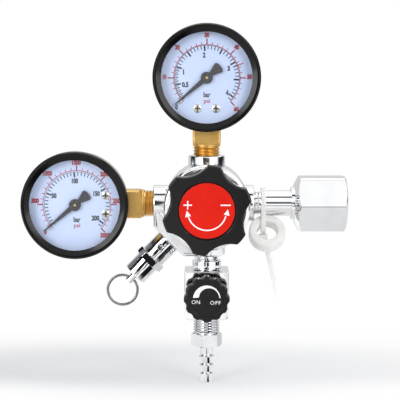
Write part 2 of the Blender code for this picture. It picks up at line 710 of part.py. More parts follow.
def make_diaphragm():
    """The rubber diaphragm with its convolution, and the plate that the range spring presses."""
    inner = CONVOLUTION_RADIUS - CONVOLUTION_HALF_WIDTH
    outer = CONVOLUTION_RADIUS + CONVOLUTION_HALF_WIDTH
    crest_back = DIAPHRAGM_BACK + CONVOLUTION_HEIGHT
    crest_front = DIAPHRAGM_FRONT + CONVOLUTION_HEIGHT
    diaphragm = turned("diaphragm", [
        (0, DIAPHRAGM_FRONT), (inner, DIAPHRAGM_FRONT), (CONVOLUTION_RADIUS, crest_front),
        (outer, DIAPHRAGM_FRONT), (DIAPHRAGM_RADIUS, DIAPHRAGM_FRONT), (DIAPHRAGM_RADIUS, DIAPHRAGM_BACK),
        (outer, DIAPHRAGM_BACK), (CONVOLUTION_RADIUS, crest_back), (inner, DIAPHRAGM_BACK),
        (0, DIAPHRAGM_BACK)], (0, 0, 0), FRONT, SIDES_MEDIUM)
    finish(diaphragm, RUBBER)
    boss_radius = RANGE_SPRING_RADIUS - RANGE_SPRING_WIRE / 2 - 2 * GAP
    boss_front = PLATE_FRONT + PLATE_BOSS_HEIGHT
    plate = turned("diaphragm_plate", [
        (0, boss_front), (boss_radius, boss_front), (boss_radius, PLATE_FRONT), (PLATE_RADIUS, PLATE_FRONT),
        (PLATE_RADIUS, PLATE_BACK), (0, PLATE_BACK)], (0, 0, 0), FRONT, SIDES_MEDIUM)
    finish(plate, BRASS)


def make_bonnet():
    """The bonnet that clamps the diaphragm, with a tower for the range spring and its nut."""
    bore_front = TOWER_FRONT - BONNET_WALL
    bonnet = turned("bonnet", [
        (SHANK_BORE, TOWER_FRONT), *corner(TOWER_RADIUS, TOWER_FRONT, BOSS_CHAMFER),
        (TOWER_RADIUS, BONNET_FRONT), *corner(CORE_RADIUS, BONNET_FRONT, BONNET_EDGE),
        (CORE_RADIUS, CORE_FRONT + GAP), (DIAPHRAGM_RADIUS, CORE_FRONT + GAP), (DIAPHRAGM_RADIUS, SPIGOT_END),
        (CHAMBER_RADIUS, SPIGOT_END), (CHAMBER_RADIUS, SPIGOT_END + FLEX_ROOM),
        (BONNET_BORE, SPIGOT_END + FLEX_ROOM), (BONNET_BORE, bore_front), (SHANK_BORE, bore_front)],
        (0, 0, 0), FRONT, SIDES_LARGE)
    key_start = SPIGOT_END + FLEX_ROOM / 2
    key_end = SPRING_NUT_FRONT + GAP
    key_size = (2 * (BONNET_BORE + KEY_DEPTH), KEY_WIDTH, key_end - key_start)
    cut(bonnet, box("keyways", key_size, FRONT * (key_start + key_end) / 2, FRONT))
    finish(bonnet, CHROME)


def make_range_spring():
    """The range spring, and the keyed nut that climbs on the adjusting screw to load it."""
    spring = coil("range_spring", RANGE_SPRING_RADIUS, RANGE_SPRING_WIRE, PLATE_FRONT + GAP,
                  SPRING_NUT_BACK - GAP, RANGE_SPRING_TURNS, (0, 0, 0), FRONT)
    finish(spring, STEEL)
    nut_radius = RANGE_SPRING_RADIUS + RANGE_SPRING_WIRE / 2
    nut = turned("spring_nut", rod(nut_radius, -SPRING_NUT_THICKNESS / 2, SPRING_NUT_THICKNESS / 2),
                 FRONT * (SPRING_NUT_FRONT + SPRING_NUT_BACK) / 2, FRONT, SIDES_MEDIUM)
    ears = (2 * (BONNET_BORE + KEY_DEPTH - GAP), KEY_WIDTH - 2 * GAP, SPRING_NUT_THICKNESS - 2 * GAP)
    join(nut, box("nut_ears", ears, nut.location, FRONT))
    drill(nut, "nut_bore", SCREW_RADIUS + GAP, SPRING_NUT_BACK - MM, SPRING_NUT_FRONT + MM, FRONT,
          sides=SIDES_SMALL)
    finish(nut, BRASS)


def make_adjusting_screw():
    """The left-handed adjusting screw, with a thrust collar and a square end for the knob."""
    start = PLATE_FRONT + PLATE_BOSS_HEIGHT + 2 * GAP
    square_end = KNOB_SCREW_SEAT - GAP
    screw = turned("adjusting_screw", [
        (0, KNOB_CEILING), (SCREW_SHANK_RADIUS, KNOB_CEILING), (SCREW_SHANK_RADIUS, COLLAR_FRONT),
        (SCREW_COLLAR_RADIUS, COLLAR_FRONT), (SCREW_COLLAR_RADIUS, COLLAR_BACK),
        (SCREW_RADIUS, COLLAR_BACK), *corner(SCREW_RADIUS, start, -GAP)[::-1], (0, start)],
        (0, 0, 0), FRONT, SIDES_SMALL)
    root = COLLAR_FRONT + GAP
    join(screw, box("screw_square", (SCREW_SQUARE, SCREW_SQUARE, square_end - root),
                    FRONT * (square_end + root) / 2, FRONT))
    drill(screw, "screw_tapping", KNOB_SCREW_RADIUS + GAP, KNOB_SCREW_SEAT - KNOB_SCREW_LENGTH - GAP,
          square_end + MM, FRONT)
    finish(screw, STEEL)


def make_adjusting_knob():
    """The six-lobed knob, its red cap and the screw under the cap."""
    outline = lobed_outline(KNOB_LOBES, KNOB_LOBE_RADIUS, KNOB_VALLEY_RADIUS, KNOB_SCOOP_RADIUS, 5, KNOB_TURN_DEG)
    knob = flat("adjusting_knob", [outline], KNOB_FRONT - KNOB_BACK, FRONT * (KNOB_FRONT + KNOB_BACK) / 2, FRONT)
    soften(knob, KNOB_EDGE, 1, 60)
    drill(knob, "knob_cavity", KNOB_CAVITY_RADIUS, KNOB_BACK - MM, KNOB_CEILING, FRONT, sides=SIDES_MEDIUM)
    cut(knob, turned("cap_recess", [
        (0, KNOB_FRONT + MM), (CAP_RADIUS + GAP, KNOB_FRONT + MM), (CAP_RADIUS + GAP, CAP_FLOOR),
        (KNOB_SCREW_HEAD_RADIUS + GAP, CAP_FLOOR), (KNOB_SCREW_HEAD_RADIUS + GAP, KNOB_SCREW_SEAT),
        (0, KNOB_SCREW_SEAT)], (0, 0, 0), FRONT, SIDES_LARGE))
    square = SCREW_SQUARE + 2 * GAP
    cut(knob, box("knob_square", (square, square, 2 * (KNOB_SCREW_SEAT - KNOB_CEILING)),
                  FRONT * (KNOB_SCREW_SEAT + KNOB_CEILING) / 2, FRONT))
    finish(knob, BLACK_PLASTIC)
    cap_back = CAP_FLOOR + GAP
    cap_front = cap_back + CAP_THICKNESS
    cap = turned("knob_cap", [
        (0, cap_front), *corner(CAP_RADIUS, cap_front, GAP), (CAP_RADIUS, cap_back), (0, cap_back)],
        (0, 0, 0), FRONT, SIDES_LARGE)
    finish(cap, RED_PLASTIC)
    head_back = KNOB_SCREW_SEAT + GAP
    head_front = head_back + KNOB_SCREW_HEAD
    screw = turned("knob_screw", [
        (0, head_front), (KNOB_SCREW_HEAD_RADIUS, head_front), (KNOB_SCREW_HEAD_RADIUS, head_back),
        (KNOB_SCREW_RADIUS, head_back), (KNOB_SCREW_RADIUS, KNOB_SCREW_SEAT - KNOB_SCREW_LENGTH),
        (0, KNOB_SCREW_SEAT - KNOB_SCREW_LENGTH)], (0, 0, 0), FRONT, SIDES_TINY)
    finish(screw, STEEL)


def make_inlet():
    """The inlet nipple with its filter, and the union nut that turns on it."""
    thread_start = RIGHT_REACH - PORT_DEPTH + GAP
    collar_back = NUT_BACK + NUT_BACK_WALL + GAP
    collar_front = collar_back + INLET_COLLAR_THICKNESS
    filter_front = INLET_FACE - FILTER_RECESS
    filter_back = filter_front - FILTER_LENGTH
    filter_bore = FILTER_RADIUS + GAP
    nipple = turned("inlet_nipple", [
        *corner(INLET_NOSE_RADIUS, INLET_FACE, BOSS_CHAMFER), (INLET_NOSE_RADIUS, collar_front),
        (INLET_COLLAR_RADIUS, collar_front), (INLET_COLLAR_RADIUS, collar_back),
        (INLET_TUBE_RADIUS, collar_back), (INLET_TUBE_RADIUS, INLET_NECK_END),
        (PORT_THREAD_RADIUS, INLET_NECK_END), (PORT_THREAD_RADIUS, thread_start), (INLET_BORE, thread_start),
        (INLET_BORE, filter_back - GAP), (filter_bore, filter_back - GAP), (filter_bore, INLET_FACE)],
        (0, 0, 0), RIGHT, SIDES_MEDIUM)
    finish(nipple, CHROME)
    inlet_filter = turned("inlet_filter", [
        (0, filter_front), *corner(FILTER_RADIUS, filter_front, GAP), (FILTER_RADIUS, filter_back),
        (0, filter_back)], (0, 0, 0), RIGHT, SIDES_SMALL)
    finish(inlet_filter, SINTERED_BRONZE)
    nut_middle = NUT_BACK + NUT_LENGTH / 2
    nut_front = NUT_BACK + NUT_LENGTH
    corner_radius = NUT_FLATS / math.sqrt(3)
    nut = flat("inlet_nut", [hexagon(NUT_FLATS)], NUT_LENGTH, RIGHT * nut_middle, RIGHT)
    face_radius = corner_radius - 2 * NUT_CHAMFER
    combine(nut, turned("nut_chamfer", [
        (0, nut_front), (face_radius, nut_front), (corner_radius + GAP, nut_front - NUT_CHAMFER),
        (corner_radius + GAP, NUT_BACK + NUT_CHAMFER), (face_radius, NUT_BACK), (0, NUT_BACK)],
        (0, 0, 0), RIGHT, SIDES_MEDIUM), "INTERSECT")
    lip_end = NUT_BACK - NUT_LIP_LENGTH
    join(nut, turned("nut_lip", rod(NUT_LIP_RADIUS, lip_end, nut_middle), (0, 0, 0), RIGHT, SIDES_MEDIUM))
    tube_bore = INLET_TUBE_RADIUS + GAP
    shoulder = NUT_BACK + NUT_BACK_WALL
    cut(nut, turned("nut_bore", [
        (0, nut_front + MM), (NUT_THREAD_RADIUS, nut_front + MM), (NUT_THREAD_RADIUS, shoulder),
        (tube_bore, shoulder), (tube_bore, lip_end - MM), (0, lip_end - MM)], (0, 0, 0), RIGHT, SIDES_MEDIUM))
    finish(nut, CHROME)


def washer_frame():
    """The spare washer's centre, the direction of its axis, and up along its face."""
    tilt = math.radians(WASHER_TILT_DEG)
    centre = Vector((WASHER_CENTRE_X, -WASHER_FORWARD, -WASHER_DROP))
    axis = Vector((0, -math.cos(tilt), math.sin(tilt)))
    return centre, axis, Vector((0, math.sin(tilt), math.cos(tilt)))


def make_washer():
    """The spare sealing washer that hangs on the tie."""
    centre, axis, _ = washer_frame()
    half = WASHER_THICKNESS / 2
    flat_half = half - WASHER_EDGE
    outer = WASHER_OUTER_RADIUS - WASHER_EDGE
    inner = WASHER_INNER_RADIUS + WASHER_EDGE
    washer = turned("spare_washer", [
        *arc((outer, flat_half), WASHER_EDGE, 90, 0, 2), *arc((outer, -flat_half), WASHER_EDGE, 0, -90, 2),
        *arc((inner, -flat_half), WASHER_EDGE, -90, -180, 1), *arc((inner, flat_half), WASHER_EDGE, 180, 90, 1)],
        centre, axis, SIDES_MEDIUM)
    finish(washer, NYLON)


def belt(radius, lower_radius, lower):
    """Outline of a belt round a circle at the origin and a circle at another point."""
    heading = math.degrees(math.atan2(lower[1], lower[0]))
    spread = math.degrees(math.acos((radius - lower_radius) / math.hypot(*lower)))
    return (arc((0, 0), radius, heading + spread, heading + 360 - spread, 14)
            + arc(lower, lower_radius, heading - spread, heading + spread, 7))


def tail_outline():
    """Outline of the tie's tail in the front view, on a bowed and tapering path from its head."""
    steps = 8
    sides = ([], [])
    for i in range(steps + 1):
        t = i / steps
        x = TIE_TAIL_DRIFT * t + 2 * TIE_TAIL_BOW * t * (1 - t)
        half = (TIE_WIDTH * (1 - t) + TIE_TAIL_TIP * t) / 2
        sides[0].append((x - half, -TIE_TAIL_DROP * t))
        sides[1].append((x + half, -TIE_TAIL_DROP * t))
    return sides[0] + sides[1][::-1]


def make_tie():
    """The tie: a strap round the inlet tube and through the washer, its head and its tail."""
    centre, _, up = washer_frame()
    middle = (math.sqrt(WASHER_OUTER_RADIUS ** 2 - TIE_OFFSET ** 2)
              + math.sqrt(WASHER_INNER_RADIUS ** 2 - TIE_OFFSET ** 2)) / 2
    wall = centre + up * middle
    lower = (wall.y, wall.z)
    strap_x = WASHER_CENTRE_X - TIE_OFFSET
    inner = belt(INLET_TUBE_RADIUS + GAP, TIE_LOWER_RADIUS, lower)
    outer = belt(INLET_TUBE_RADIUS + GAP + TIE_THICKNESS, TIE_LOWER_RADIUS + TIE_THICKNESS, lower)
    tie = flat("cable_tie", [outer, inner], TIE_WIDTH, (strap_x, 0, 0), RIGHT)
    strap_bottom = wall.z - TIE_LOWER_RADIUS - TIE_THICKNESS
    head_z = strap_bottom + GAP - TIE_HEAD_HEIGHT / 2
    head_y = wall.y + TIE_THICKNESS - TIE_HEAD_DEPTH / 2
    join(tie, box("tie_head", (TIE_HEAD_WIDTH, TIE_HEAD_DEPTH, TIE_HEAD_HEIGHT), (strap_x, head_y, head_z)))
    join(tie, flat("tie_tail", [tail_outline()], TIE_THICKNESS - GAP,
                   (strap_x, wall.y + TIE_THICKNESS / 2 - GAP / 2, head_z), FRONT))
    finish(tie, NYLON)


# Depths below the port crossing and distances in front of it along the outlet
COLLAR_TOP = BOTTOM_REACH + OUTLET_NECK
COLLAR_BOTTOM = COLLAR_TOP + OUTLET_COLLAR_LENGTH
BLOCK_TOP = COLLAR_BOTTOM + GAP
BLOCK_BOTTOM = BLOCK_TOP + BLOCK_HEIGHT
BLOCK_FRONT = BLOCK_DEPTH / 2
STEM_PLACE = DOWN * (BLOCK_TOP + STEM_DROP)
BARB_SOCKET_TOP = BLOCK_BOTTOM - BARB_SOCKET_DEPTH
GLAND_BACK = BLOCK_FRONT + GAP
GLAND_NOSE = GLAND_BACK + GLAND_FRONT
FLOW_KNOB_BACK = GLAND_NOSE + GAP + STEM_LIFT
FLOW_KNOB_FRONT = FLOW_KNOB_BACK + FLOW_KNOB_LENGTH
ORING_RADIUS = STEM_GROOVE_RADIUS + GAP + ORING_WIRE_RADIUS
STEM_GROOVE_FRONT = STEM_GROOVE_BACK + 2 * (ORING_WIRE_RADIUS + GAP)


def make_outlet_nipple():
    """The nipple between the body and the shut-off block."""
    top = BOTTOM_REACH - PORT_DEPTH + GAP
    bottom = BLOCK_TOP + BLOCK_PORT_DEPTH - GAP
    nipple = turned("outlet_nipple", [
        (OUTLET_THREAD_RADIUS, bottom), (OUTLET_THREAD_RADIUS, COLLAR_BOTTOM),
        (OUTLET_COLLAR_RADIUS, COLLAR_BOTTOM), (OUTLET_COLLAR_RADIUS, COLLAR_TOP),
        (PORT_THREAD_RADIUS, COLLAR_TOP), (PORT_THREAD_RADIUS, top), (OUTLET_BORE, top),
        (OUTLET_BORE, bottom)], (0, 0, 0), DOWN, SIDES_MEDIUM)
    finish(nipple, CHROME)


def make_shutoff_block():
    """The shut-off block with its ports, needle bore and seat."""
    half = BLOCK_WIDTH / 2
    round_x = half - BLOCK_CORNER
    round_z = BLOCK_CORNER - BLOCK_BOTTOM
    outline = [(half, -BLOCK_TOP), (-half, -BLOCK_TOP), *arc((-round_x, round_z), BLOCK_CORNER, 180, 270, 3),
               *arc((round_x, round_z), BLOCK_CORNER, 270, 360, 3)]
    block = flat("shutoff_block", [outline], BLOCK_DEPTH, (0, 0, 0), FRONT)
    soften(block, BLOCK_EDGE, 1, 50)
    socket_floor = BLOCK_TOP + BLOCK_PORT_DEPTH
    drill(block, "block_inlet", OUTLET_THREAD_RADIUS + GAP, BLOCK_TOP - MM, socket_floor, DOWN, sides=SIDES_SMALL)
    drill(block, "block_outlet", BARB_THREAD_RADIUS + GAP, BARB_SOCKET_TOP, BLOCK_BOTTOM + MM, DOWN,
          sides=SIDES_SMALL)
    drill(block, "block_feed", STEM_FEED_RADIUS, socket_floor - MM, BLOCK_TOP + STEM_DROP, DOWN,
          FRONT * STEM_FEED_OFFSET)
    drill(block, "block_passage", CHECK_SEAT_RADIUS, BLOCK_TOP + STEM_DROP - STEM_ORIFICE / 2,
          BARB_SOCKET_TOP + MM, DOWN)
    spigot_end = BLOCK_FRONT - GLAND_SPIGOT_LENGTH - GAP
    cut(block, turned("stem_bore", [
        (0, BLOCK_FRONT + MM), (GLAND_SPIGOT_RADIUS + GAP, BLOCK_FRONT + MM),
        (GLAND_SPIGOT_RADIUS + GAP, spigot_end), (STEM_BORE, spigot_end), (STEM_BORE, STEM_SEAT),
        (STEM_ORIFICE, STEM_SEAT), (STEM_ORIFICE, 0), (0, 0)], STEM_PLACE, FRONT, SIDES_SMALL))
    finish(block, CHROME)


def make_shutoff_stem():
    """The needle stem, the ring that seals it and the gland nut that keeps it in."""
    tip = STEM_SEAT + GAP + STEM_LIFT
    land_end = STEM_GROOVE_FRONT + STEM_LAND_LENGTH
    end = FLOW_KNOB_BACK + STEM_IN_KNOB
    stem = turned("shutoff_stem", [
        (0, end), (STEM_RADIUS, end), (STEM_RADIUS, land_end), (STEM_THREAD_RADIUS, land_end),
        (STEM_THREAD_RADIUS, STEM_GROOVE_FRONT), (STEM_GROOVE_RADIUS, STEM_GROOVE_FRONT),
        (STEM_GROOVE_RADIUS, STEM_GROOVE_BACK), (STEM_THREAD_RADIUS, STEM_GROOVE_BACK),
        (STEM_THREAD_RADIUS, tip + STEM_CONE), (STEM_TIP_RADIUS, tip), (0, tip)], STEM_PLACE, FRONT, SIDES_SMALL)
    finish(stem, STEEL)
    middle = (STEM_GROOVE_FRONT + STEM_GROOVE_BACK) / 2
    oring = wire("stem_seal_ring", ring_points(ORING_RADIUS, SEAL_SIDES), ORING_WIRE_RADIUS,
                 STEM_PLACE + FRONT * middle, FRONT, cyclic=True)
    finish(oring, RUBBER)
    gland = flat("gland_nut", [hexagon(GLAND_FLATS)], GLAND_FRONT, STEM_PLACE + FRONT * (GLAND_BACK + GLAND_NOSE) / 2,
                 FRONT)
    spigot_back = GLAND_BACK - GLAND_SPIGOT_LENGTH - GAP
    join(gland, turned("gland_spigot", rod(GLAND_SPIGOT_RADIUS, spigot_back, GLAND_BACK + MM), STEM_PLACE, FRONT,
                       SIDES_SMALL))
    lip_back = GLAND_NOSE - GLAND_LIP
    cut(gland, turned("gland_bore", [
        (0, GLAND_NOSE + MM), (STEM_RADIUS + GAP, GLAND_NOSE + MM), (STEM_RADIUS + GAP, lip_back),
        (STEM_BORE, lip_back), (STEM_BORE, spigot_back - MM), (0, spigot_back - MM)], STEM_PLACE, FRONT,
        SIDES_SMALL))
    finish(gland, CHROME)


def make_flow_knob():
    """The small scalloped knob on the shut-off stem."""
    outline = lobed_outline(FLOW_KNOB_LOBES, FLOW_KNOB_LOBE_RADIUS, FLOW_KNOB_VALLEY_RADIUS,
                            FLOW_KNOB_SCOOP_RADIUS, 2, 0)
    knob = flat("flow_knob", [outline], FLOW_KNOB_LENGTH,
                STEM_PLACE + FRONT * (FLOW_KNOB_BACK + FLOW_KNOB_FRONT) / 2, FRONT)
    soften(knob, FLOW_KNOB_EDGE, 1, 60)
    cut(knob, turned("flow_knob_cavity",
                     tube(FLOW_KNOB_HUB_RADIUS, FLOW_KNOB_CAVITY_RADIUS, FLOW_KNOB_BACK - MM,
                          FLOW_KNOB_BACK + FLOW_KNOB_CAVITY_DEPTH), STEM_PLACE, FRONT, SIDES_SMALL))
    drill(knob, "flow_knob_bore", STEM_RADIUS + GAP, FLOW_KNOB_BACK - MM, FLOW_KNOB_BACK + STEM_IN_KNOB + GAP,
          FRONT, STEM_PLACE)
    drill(knob, "flow_knob_face", FLOW_KNOB_RIM_RADIUS, FLOW_KNOB_FRONT - FLOW_KNOB_RIM_DEPTH,
          FLOW_KNOB_FRONT + MM, FRONT, STEM_PLACE, SIDES_MEDIUM)
    finish(knob, BLACK_PLASTIC)


def barb_profile(hex_bottom):
    """Profile of the hose tail, from its tip up to the hexagon."""
    points = []
    tip = hex_bottom + BARB_NECK_LENGTH + BARB_RIDGES * BARB_PITCH
    for ridge in reversed(range(BARB_RIDGES)):
        edge = hex_bottom + BARB_NECK_LENGTH + ridge * BARB_PITCH
        foot = BARB_TIP_RADIUS if ridge == BARB_RIDGES - 1 else BARB_NECK_RADIUS - BARB_TAPER
        points += [(foot, edge + BARB_PITCH - GAP), (BARB_RIDGE_RADIUS - ridge * BARB_TAPER, edge)]
    points[0] = (BARB_TIP_RADIUS, tip)
    return points + [(BARB_NECK_RADIUS, hex_bottom + BARB_NECK_LENGTH - GAP)]


def make_hose_barb():
    """The hose tail with its hexagon and thread, and the check ball and spring inside it."""
    hex_top = BLOCK_BOTTOM + BARB_THREAD_SHOWN
    hex_bottom = hex_top + BARB_HEX_LENGTH
    thread_top = BARB_SOCKET_TOP + GAP
    corner_radius = BARB_HEX_FLATS / math.sqrt(3)
    barb = flat("hose_barb", [hexagon(BARB_HEX_FLATS)], BARB_HEX_LENGTH, DOWN * (hex_top + hex_bottom) / 2, DOWN,
                math.radians(BARB_HEX_TURN_DEG))
    face_radius = corner_radius - 2 * BARB_HEX_CHAMFER
    combine(barb, turned("barb_chamfer", [
        (0, hex_bottom), (face_radius, hex_bottom), (corner_radius + GAP, hex_bottom - BARB_HEX_CHAMFER),
        (corner_radius + GAP, hex_top + BARB_HEX_CHAMFER), (face_radius, hex_top), (0, hex_top)],
        (0, 0, 0), DOWN, SIDES_MEDIUM), "INTERSECT")
    tail = barb_profile(hex_bottom)
    shaft = [(0, tail[0][1]), *tail, (BARB_NECK_RADIUS, hex_bottom - MM), (BARB_THREAD_RADIUS, hex_top + MM),
             (BARB_THREAD_RADIUS, thread_top), (0, thread_top)]
    join(barb, turned("barb_shaft", shaft, (0, 0, 0), DOWN, SIDES_SMALL))
    check_floor = thread_top + CHECK_DEPTH
    cut(barb, turned("barb_bore", [
        (0, tail[0][1] + MM), (BARB_BORE, tail[0][1] + MM), (BARB_BORE, check_floor), (CHECK_BORE, check_floor),
        (CHECK_BORE, thread_top - MM), (0, thread_top - MM)], (0, 0, 0), DOWN, SIDES_SMALL))
    finish(barb, CHROME)
    drop = math.sqrt((BALL_RADIUS + GAP) ** 2 - CHECK_SEAT_RADIUS ** 2)
    mesh = bpy.data.meshes.new("check_ball")
    work = bmesh.new()
    bmesh.ops.create_uvsphere(work, u_segments=BALL_SIDES, v_segments=SIDES_TINY, radius=BALL_RADIUS)
    work.to_mesh(mesh)
    work.free()
    ball = bpy.data.objects.new("check_ball", mesh)
    ball.location = DOWN * (BARB_SOCKET_TOP + drop)
    finish(ball, STEEL)
    touch = math.sqrt(BALL_RADIUS ** 2 - CHECK_SPRING_RADIUS ** 2)
    spring = coil("check_spring", CHECK_SPRING_RADIUS, CHECK_SPRING_WIRE, BARB_SOCKET_TOP + drop + touch + GAP,
                  check_floor - GAP, CHECK_SPRING_TURNS, (0, 0, 0), DOWN, SIDES_TINY)
    finish(spring, STEEL)


def make_relief_valve():
    """The relief valve: barrel, spring cap, sprung disc on a stem, and the pull ring."""
    thread_start = WEB_REACH - RELIEF_THREAD_LENGTH + GAP
    barrel_start = WEB_REACH + GAP
    barrel = turned("relief_body", [
        *corner(RELIEF_BARREL_RADIUS, RELIEF_BARREL_END, GAP), (RELIEF_BARREL_RADIUS, barrel_start),
        (RELIEF_THREAD_RADIUS, barrel_start), (RELIEF_THREAD_RADIUS, thread_start), (PASSAGE_RADIUS, thread_start),
        (PASSAGE_RADIUS, RELIEF_SEAT), (RELIEF_BORE, RELIEF_SEAT), (RELIEF_BORE, RELIEF_BARREL_END)],
        (0, 0, 0), RELIEF_AXIS, SIDES_MEDIUM)
    drill(barrel, "relief_vent", RELIEF_VENT_RADIUS, -RELIEF_BARREL_RADIUS - MM, RELIEF_BARREL_RADIUS + MM,
          FRONT, RELIEF_AXIS * RELIEF_VENT_AT)
    finish(barrel, CHROME)
    hex_start = RELIEF_BARREL_END + GAP
    hex_end = hex_start + RELIEF_HEX_LENGTH
    cap = flat("relief_cap", [hexagon(RELIEF_HEX_WIDTH * math.cos(math.pi / 6))], RELIEF_HEX_LENGTH,
               RELIEF_AXIS * (hex_start + hex_end) / 2, RELIEF_AXIS)
    spigot_start = hex_start - RELIEF_SPIGOT_LENGTH
    join(cap, turned("cap_barrel", [
        (0, RELIEF_CAP_END), *corner(RELIEF_CAP_RADIUS, RELIEF_CAP_END, RELIEF_CAP_EDGE),
        (RELIEF_CAP_RADIUS, hex_start + MM), (RELIEF_SPIGOT_RADIUS, hex_start + MM),
        (RELIEF_SPIGOT_RADIUS, spigot_start), (0, spigot_start)], (0, 0, 0), RELIEF_AXIS, SIDES_MEDIUM))
    stem_bore = RELIEF_STEM_RADIUS + GAP
    cap_floor = RELIEF_CAP_END - RELIEF_CAP_WALL
    cut(cap, turned("cap_bore", [
        (0, RELIEF_CAP_END + MM), (stem_bore, RELIEF_CAP_END + MM), (stem_bore, cap_floor),
        (RELIEF_CAP_BORE, cap_floor), (RELIEF_CAP_BORE, spigot_start - MM), (0, spigot_start - MM)],
        (0, 0, 0), RELIEF_AXIS, SIDES_SMALL))
    finish(cap, CHROME)
    disc_start = RELIEF_SEAT + GAP
    disc_end = disc_start + RELIEF_DISC_THICKNESS
    stem = turned("relief_stem", [
        (0, RELIEF_STEM_END), *corner(RELIEF_STEM_RADIUS, RELIEF_STEM_END, GAP), (RELIEF_STEM_RADIUS, disc_end),
        (RELIEF_DISC_RADIUS, disc_end), (RELIEF_DISC_RADIUS, disc_start), (0, disc_start)],
        (0, 0, 0), RELIEF_AXIS, SIDES_SMALL)
    hole = RELIEF_AXIS * RELIEF_HOLE_AT
    across = RELIEF_AXIS.cross(FRONT)
    drill(stem, "ring_hole", RELIEF_HOLE_RADIUS, -RELIEF_BARREL_RADIUS, RELIEF_BARREL_RADIUS, across, hole)
    finish(stem, CHROME)
    spring_radius = RELIEF_CAP_BORE - GAP - RELIEF_SPRING_WIRE / 2
    spring = coil("relief_spring", spring_radius, RELIEF_SPRING_WIRE, disc_end + GAP, cap_floor - GAP,
                  RELIEF_SPRING_TURNS, (0, 0, 0), RELIEF_AXIS, SIDES_TINY)
    finish(spring, STEEL)
    lean = Matrix.Rotation(math.radians(RING_LEAN_DEG), 3, FRONT) @ RELIEF_AXIS
    ring = wire("pull_ring", ring_points(RING_RADIUS, RING_SIDES), RING_WIRE_RADIUS,
                hole + lean * RING_RADIUS, FRONT, cyclic=True)
    finish(ring, STEEL)


def teeth_outline(pitch_radius, module, first_deg, step_deg, count):
    """Outline points of trapezoid teeth, one after another round a centre."""
    tip = pitch_radius + TOOTH_ADDENDUM * module
    root = pitch_radius - TOOTH_DEDENDUM * module
    flank = ((root, -TOOTH_ROOT_SHARE), (tip, -TOOTH_TIP_SHARE), (tip, TOOTH_TIP_SHARE), (root, TOOTH_ROOT_SHARE))
    points = []
    for i in range(count):
        middle = first_deg + i * step_deg
        for radius, share in flank:
            angle = math.radians(middle + share * step_deg)
            points.append((radius * math.cos(angle), radius * math.sin(angle)))
    return points


def sector_outline(module):
    """Outline of the toothed sector about its arbor, its teeth towards +X and its tail towards +Y."""
    pitch_radius = GEAR_CENTRES * SECTOR_RATIO / (SECTOR_RATIO + 1)
    step = -360 / (PINION_TEETH * SECTOR_RATIO)
    teeth = teeth_outline(pitch_radius, module, -step, step, SECTOR_TEETH)
    hub = arc((0, 0), SECTOR_HUB_RADIUS, -65, -230, 5)
    tail = arc((0, SECTOR_TAIL), SECTOR_ARM_HALF_WIDTH, 180, 0, 4)
    return teeth + hub + tail + [(SECTOR_ARM_HALF_WIDTH, SECTOR_HUB_RADIUS)]


def plate_outline(reach):
    """Outline of a movement plate from the pinion to the sector's arbor, with an arm to the socket."""
    half = MOVEMENT_HALF_WIDTH
    return [(reach, half), (-half, half), *arc((0, -GEAR_CENTRES), half, 180, 360, 6), (half, -half), (reach, -half)]


def arc_sweep(name, radius, half_width, half_depth, start_deg, end_deg, steps, at, direction, turn):
    """An oval tube swept round an arc, closed at both ends."""
    mesh = bpy.data.meshes.new(name)
    work = bmesh.new()
    oval = bmesh.ops.create_circle(work, cap_ends=True, segments=8, radius=1.0)
    shape = (Matrix.Rotation(math.radians(start_deg), 4, "Z") @ Matrix.Translation((radius, 0, 0))
             @ Matrix.Rotation(math.pi / 2, 4, "X") @ Matrix.Diagonal((half_width, half_depth, 1, 1)))
    bmesh.ops.transform(work, matrix=shape, verts=oval["verts"])
    bmesh.ops.spin(work, geom=work.faces[:], cent=(0, 0, 0), axis=(0, 0, 1), dvec=(0, 0, 0),
                   angle=math.radians(end_deg - start_deg), steps=steps, use_duplicate=False)
    bmesh.ops.recalc_face_normals(work, faces=work.faces)
    work.to_mesh(mesh)
    work.free()
    obj = bpy.data.objects.new(name, mesh)
    place(obj, at, direction, turn)
    return obj


def make_gauge_case(name, centre, stem_turn):
    """The steel case with its opening for the socket, the bezel, the window and the dial."""
    window_back = BEZEL_FRONT - BEZEL_LIP - GAP - WINDOW_THICKNESS
    rim = window_back - GAP
    inner = CASE_RADIUS - CASE_WALL
    floor = CASE_WALL - CASE_BACK
    case = turned(name + "_case", [
        (0, floor), (inner, floor), (inner, rim), (CASE_RADIUS, rim), (CASE_RADIUS, CASE_EDGE - CASE_BACK),
        (CASE_RADIUS - CASE_EDGE, -CASE_BACK), (0, -CASE_BACK)], centre, FRONT, SIDES_LARGE)
    opening = GAUGE_BLOCK_WIDTH + 2 * GAP
    stem = facing(FRONT, stem_turn) @ Vector((CASE_RADIUS, 0, 0))
    cut(case, box(name + "_opening", (8 * CASE_WALL, opening, opening), centre + stem, FRONT, stem_turn))
    finish(case, GREY_PAINT)
    back = GAUGE_BLOCK_WIDTH / 2 + GAP
    lip_back = BEZEL_FRONT - BEZEL_LIP
    bezel = turned(name + "_bezel", [
        (BEZEL_OPENING, BEZEL_FRONT), *corner(BEZEL_RADIUS, BEZEL_FRONT, BEZEL_EDGE), (BEZEL_RADIUS, back),
        (CASE_RADIUS + GAP, back), (CASE_RADIUS + GAP, lip_back), (BEZEL_OPENING, lip_back)],
        centre, FRONT, SIDES_LARGE)
    finish(bezel, BLACK_PAINT)
    window = turned(name + "_window", rod(CASE_RADIUS, window_back, window_back + WINDOW_THICKNESS), centre,
                    FRONT, SIDES_LARGE)
    finish(window, CLEAR_PLASTIC)
    dial = turned(name + "_dial", tube(DIAL_HOLE, inner - GAP, DIAL_FRONT - DIAL_THICKNESS, DIAL_FRONT), centre,
                  FRONT, SIDES_LARGE)
    finish(dial, DIAL_PAINT)


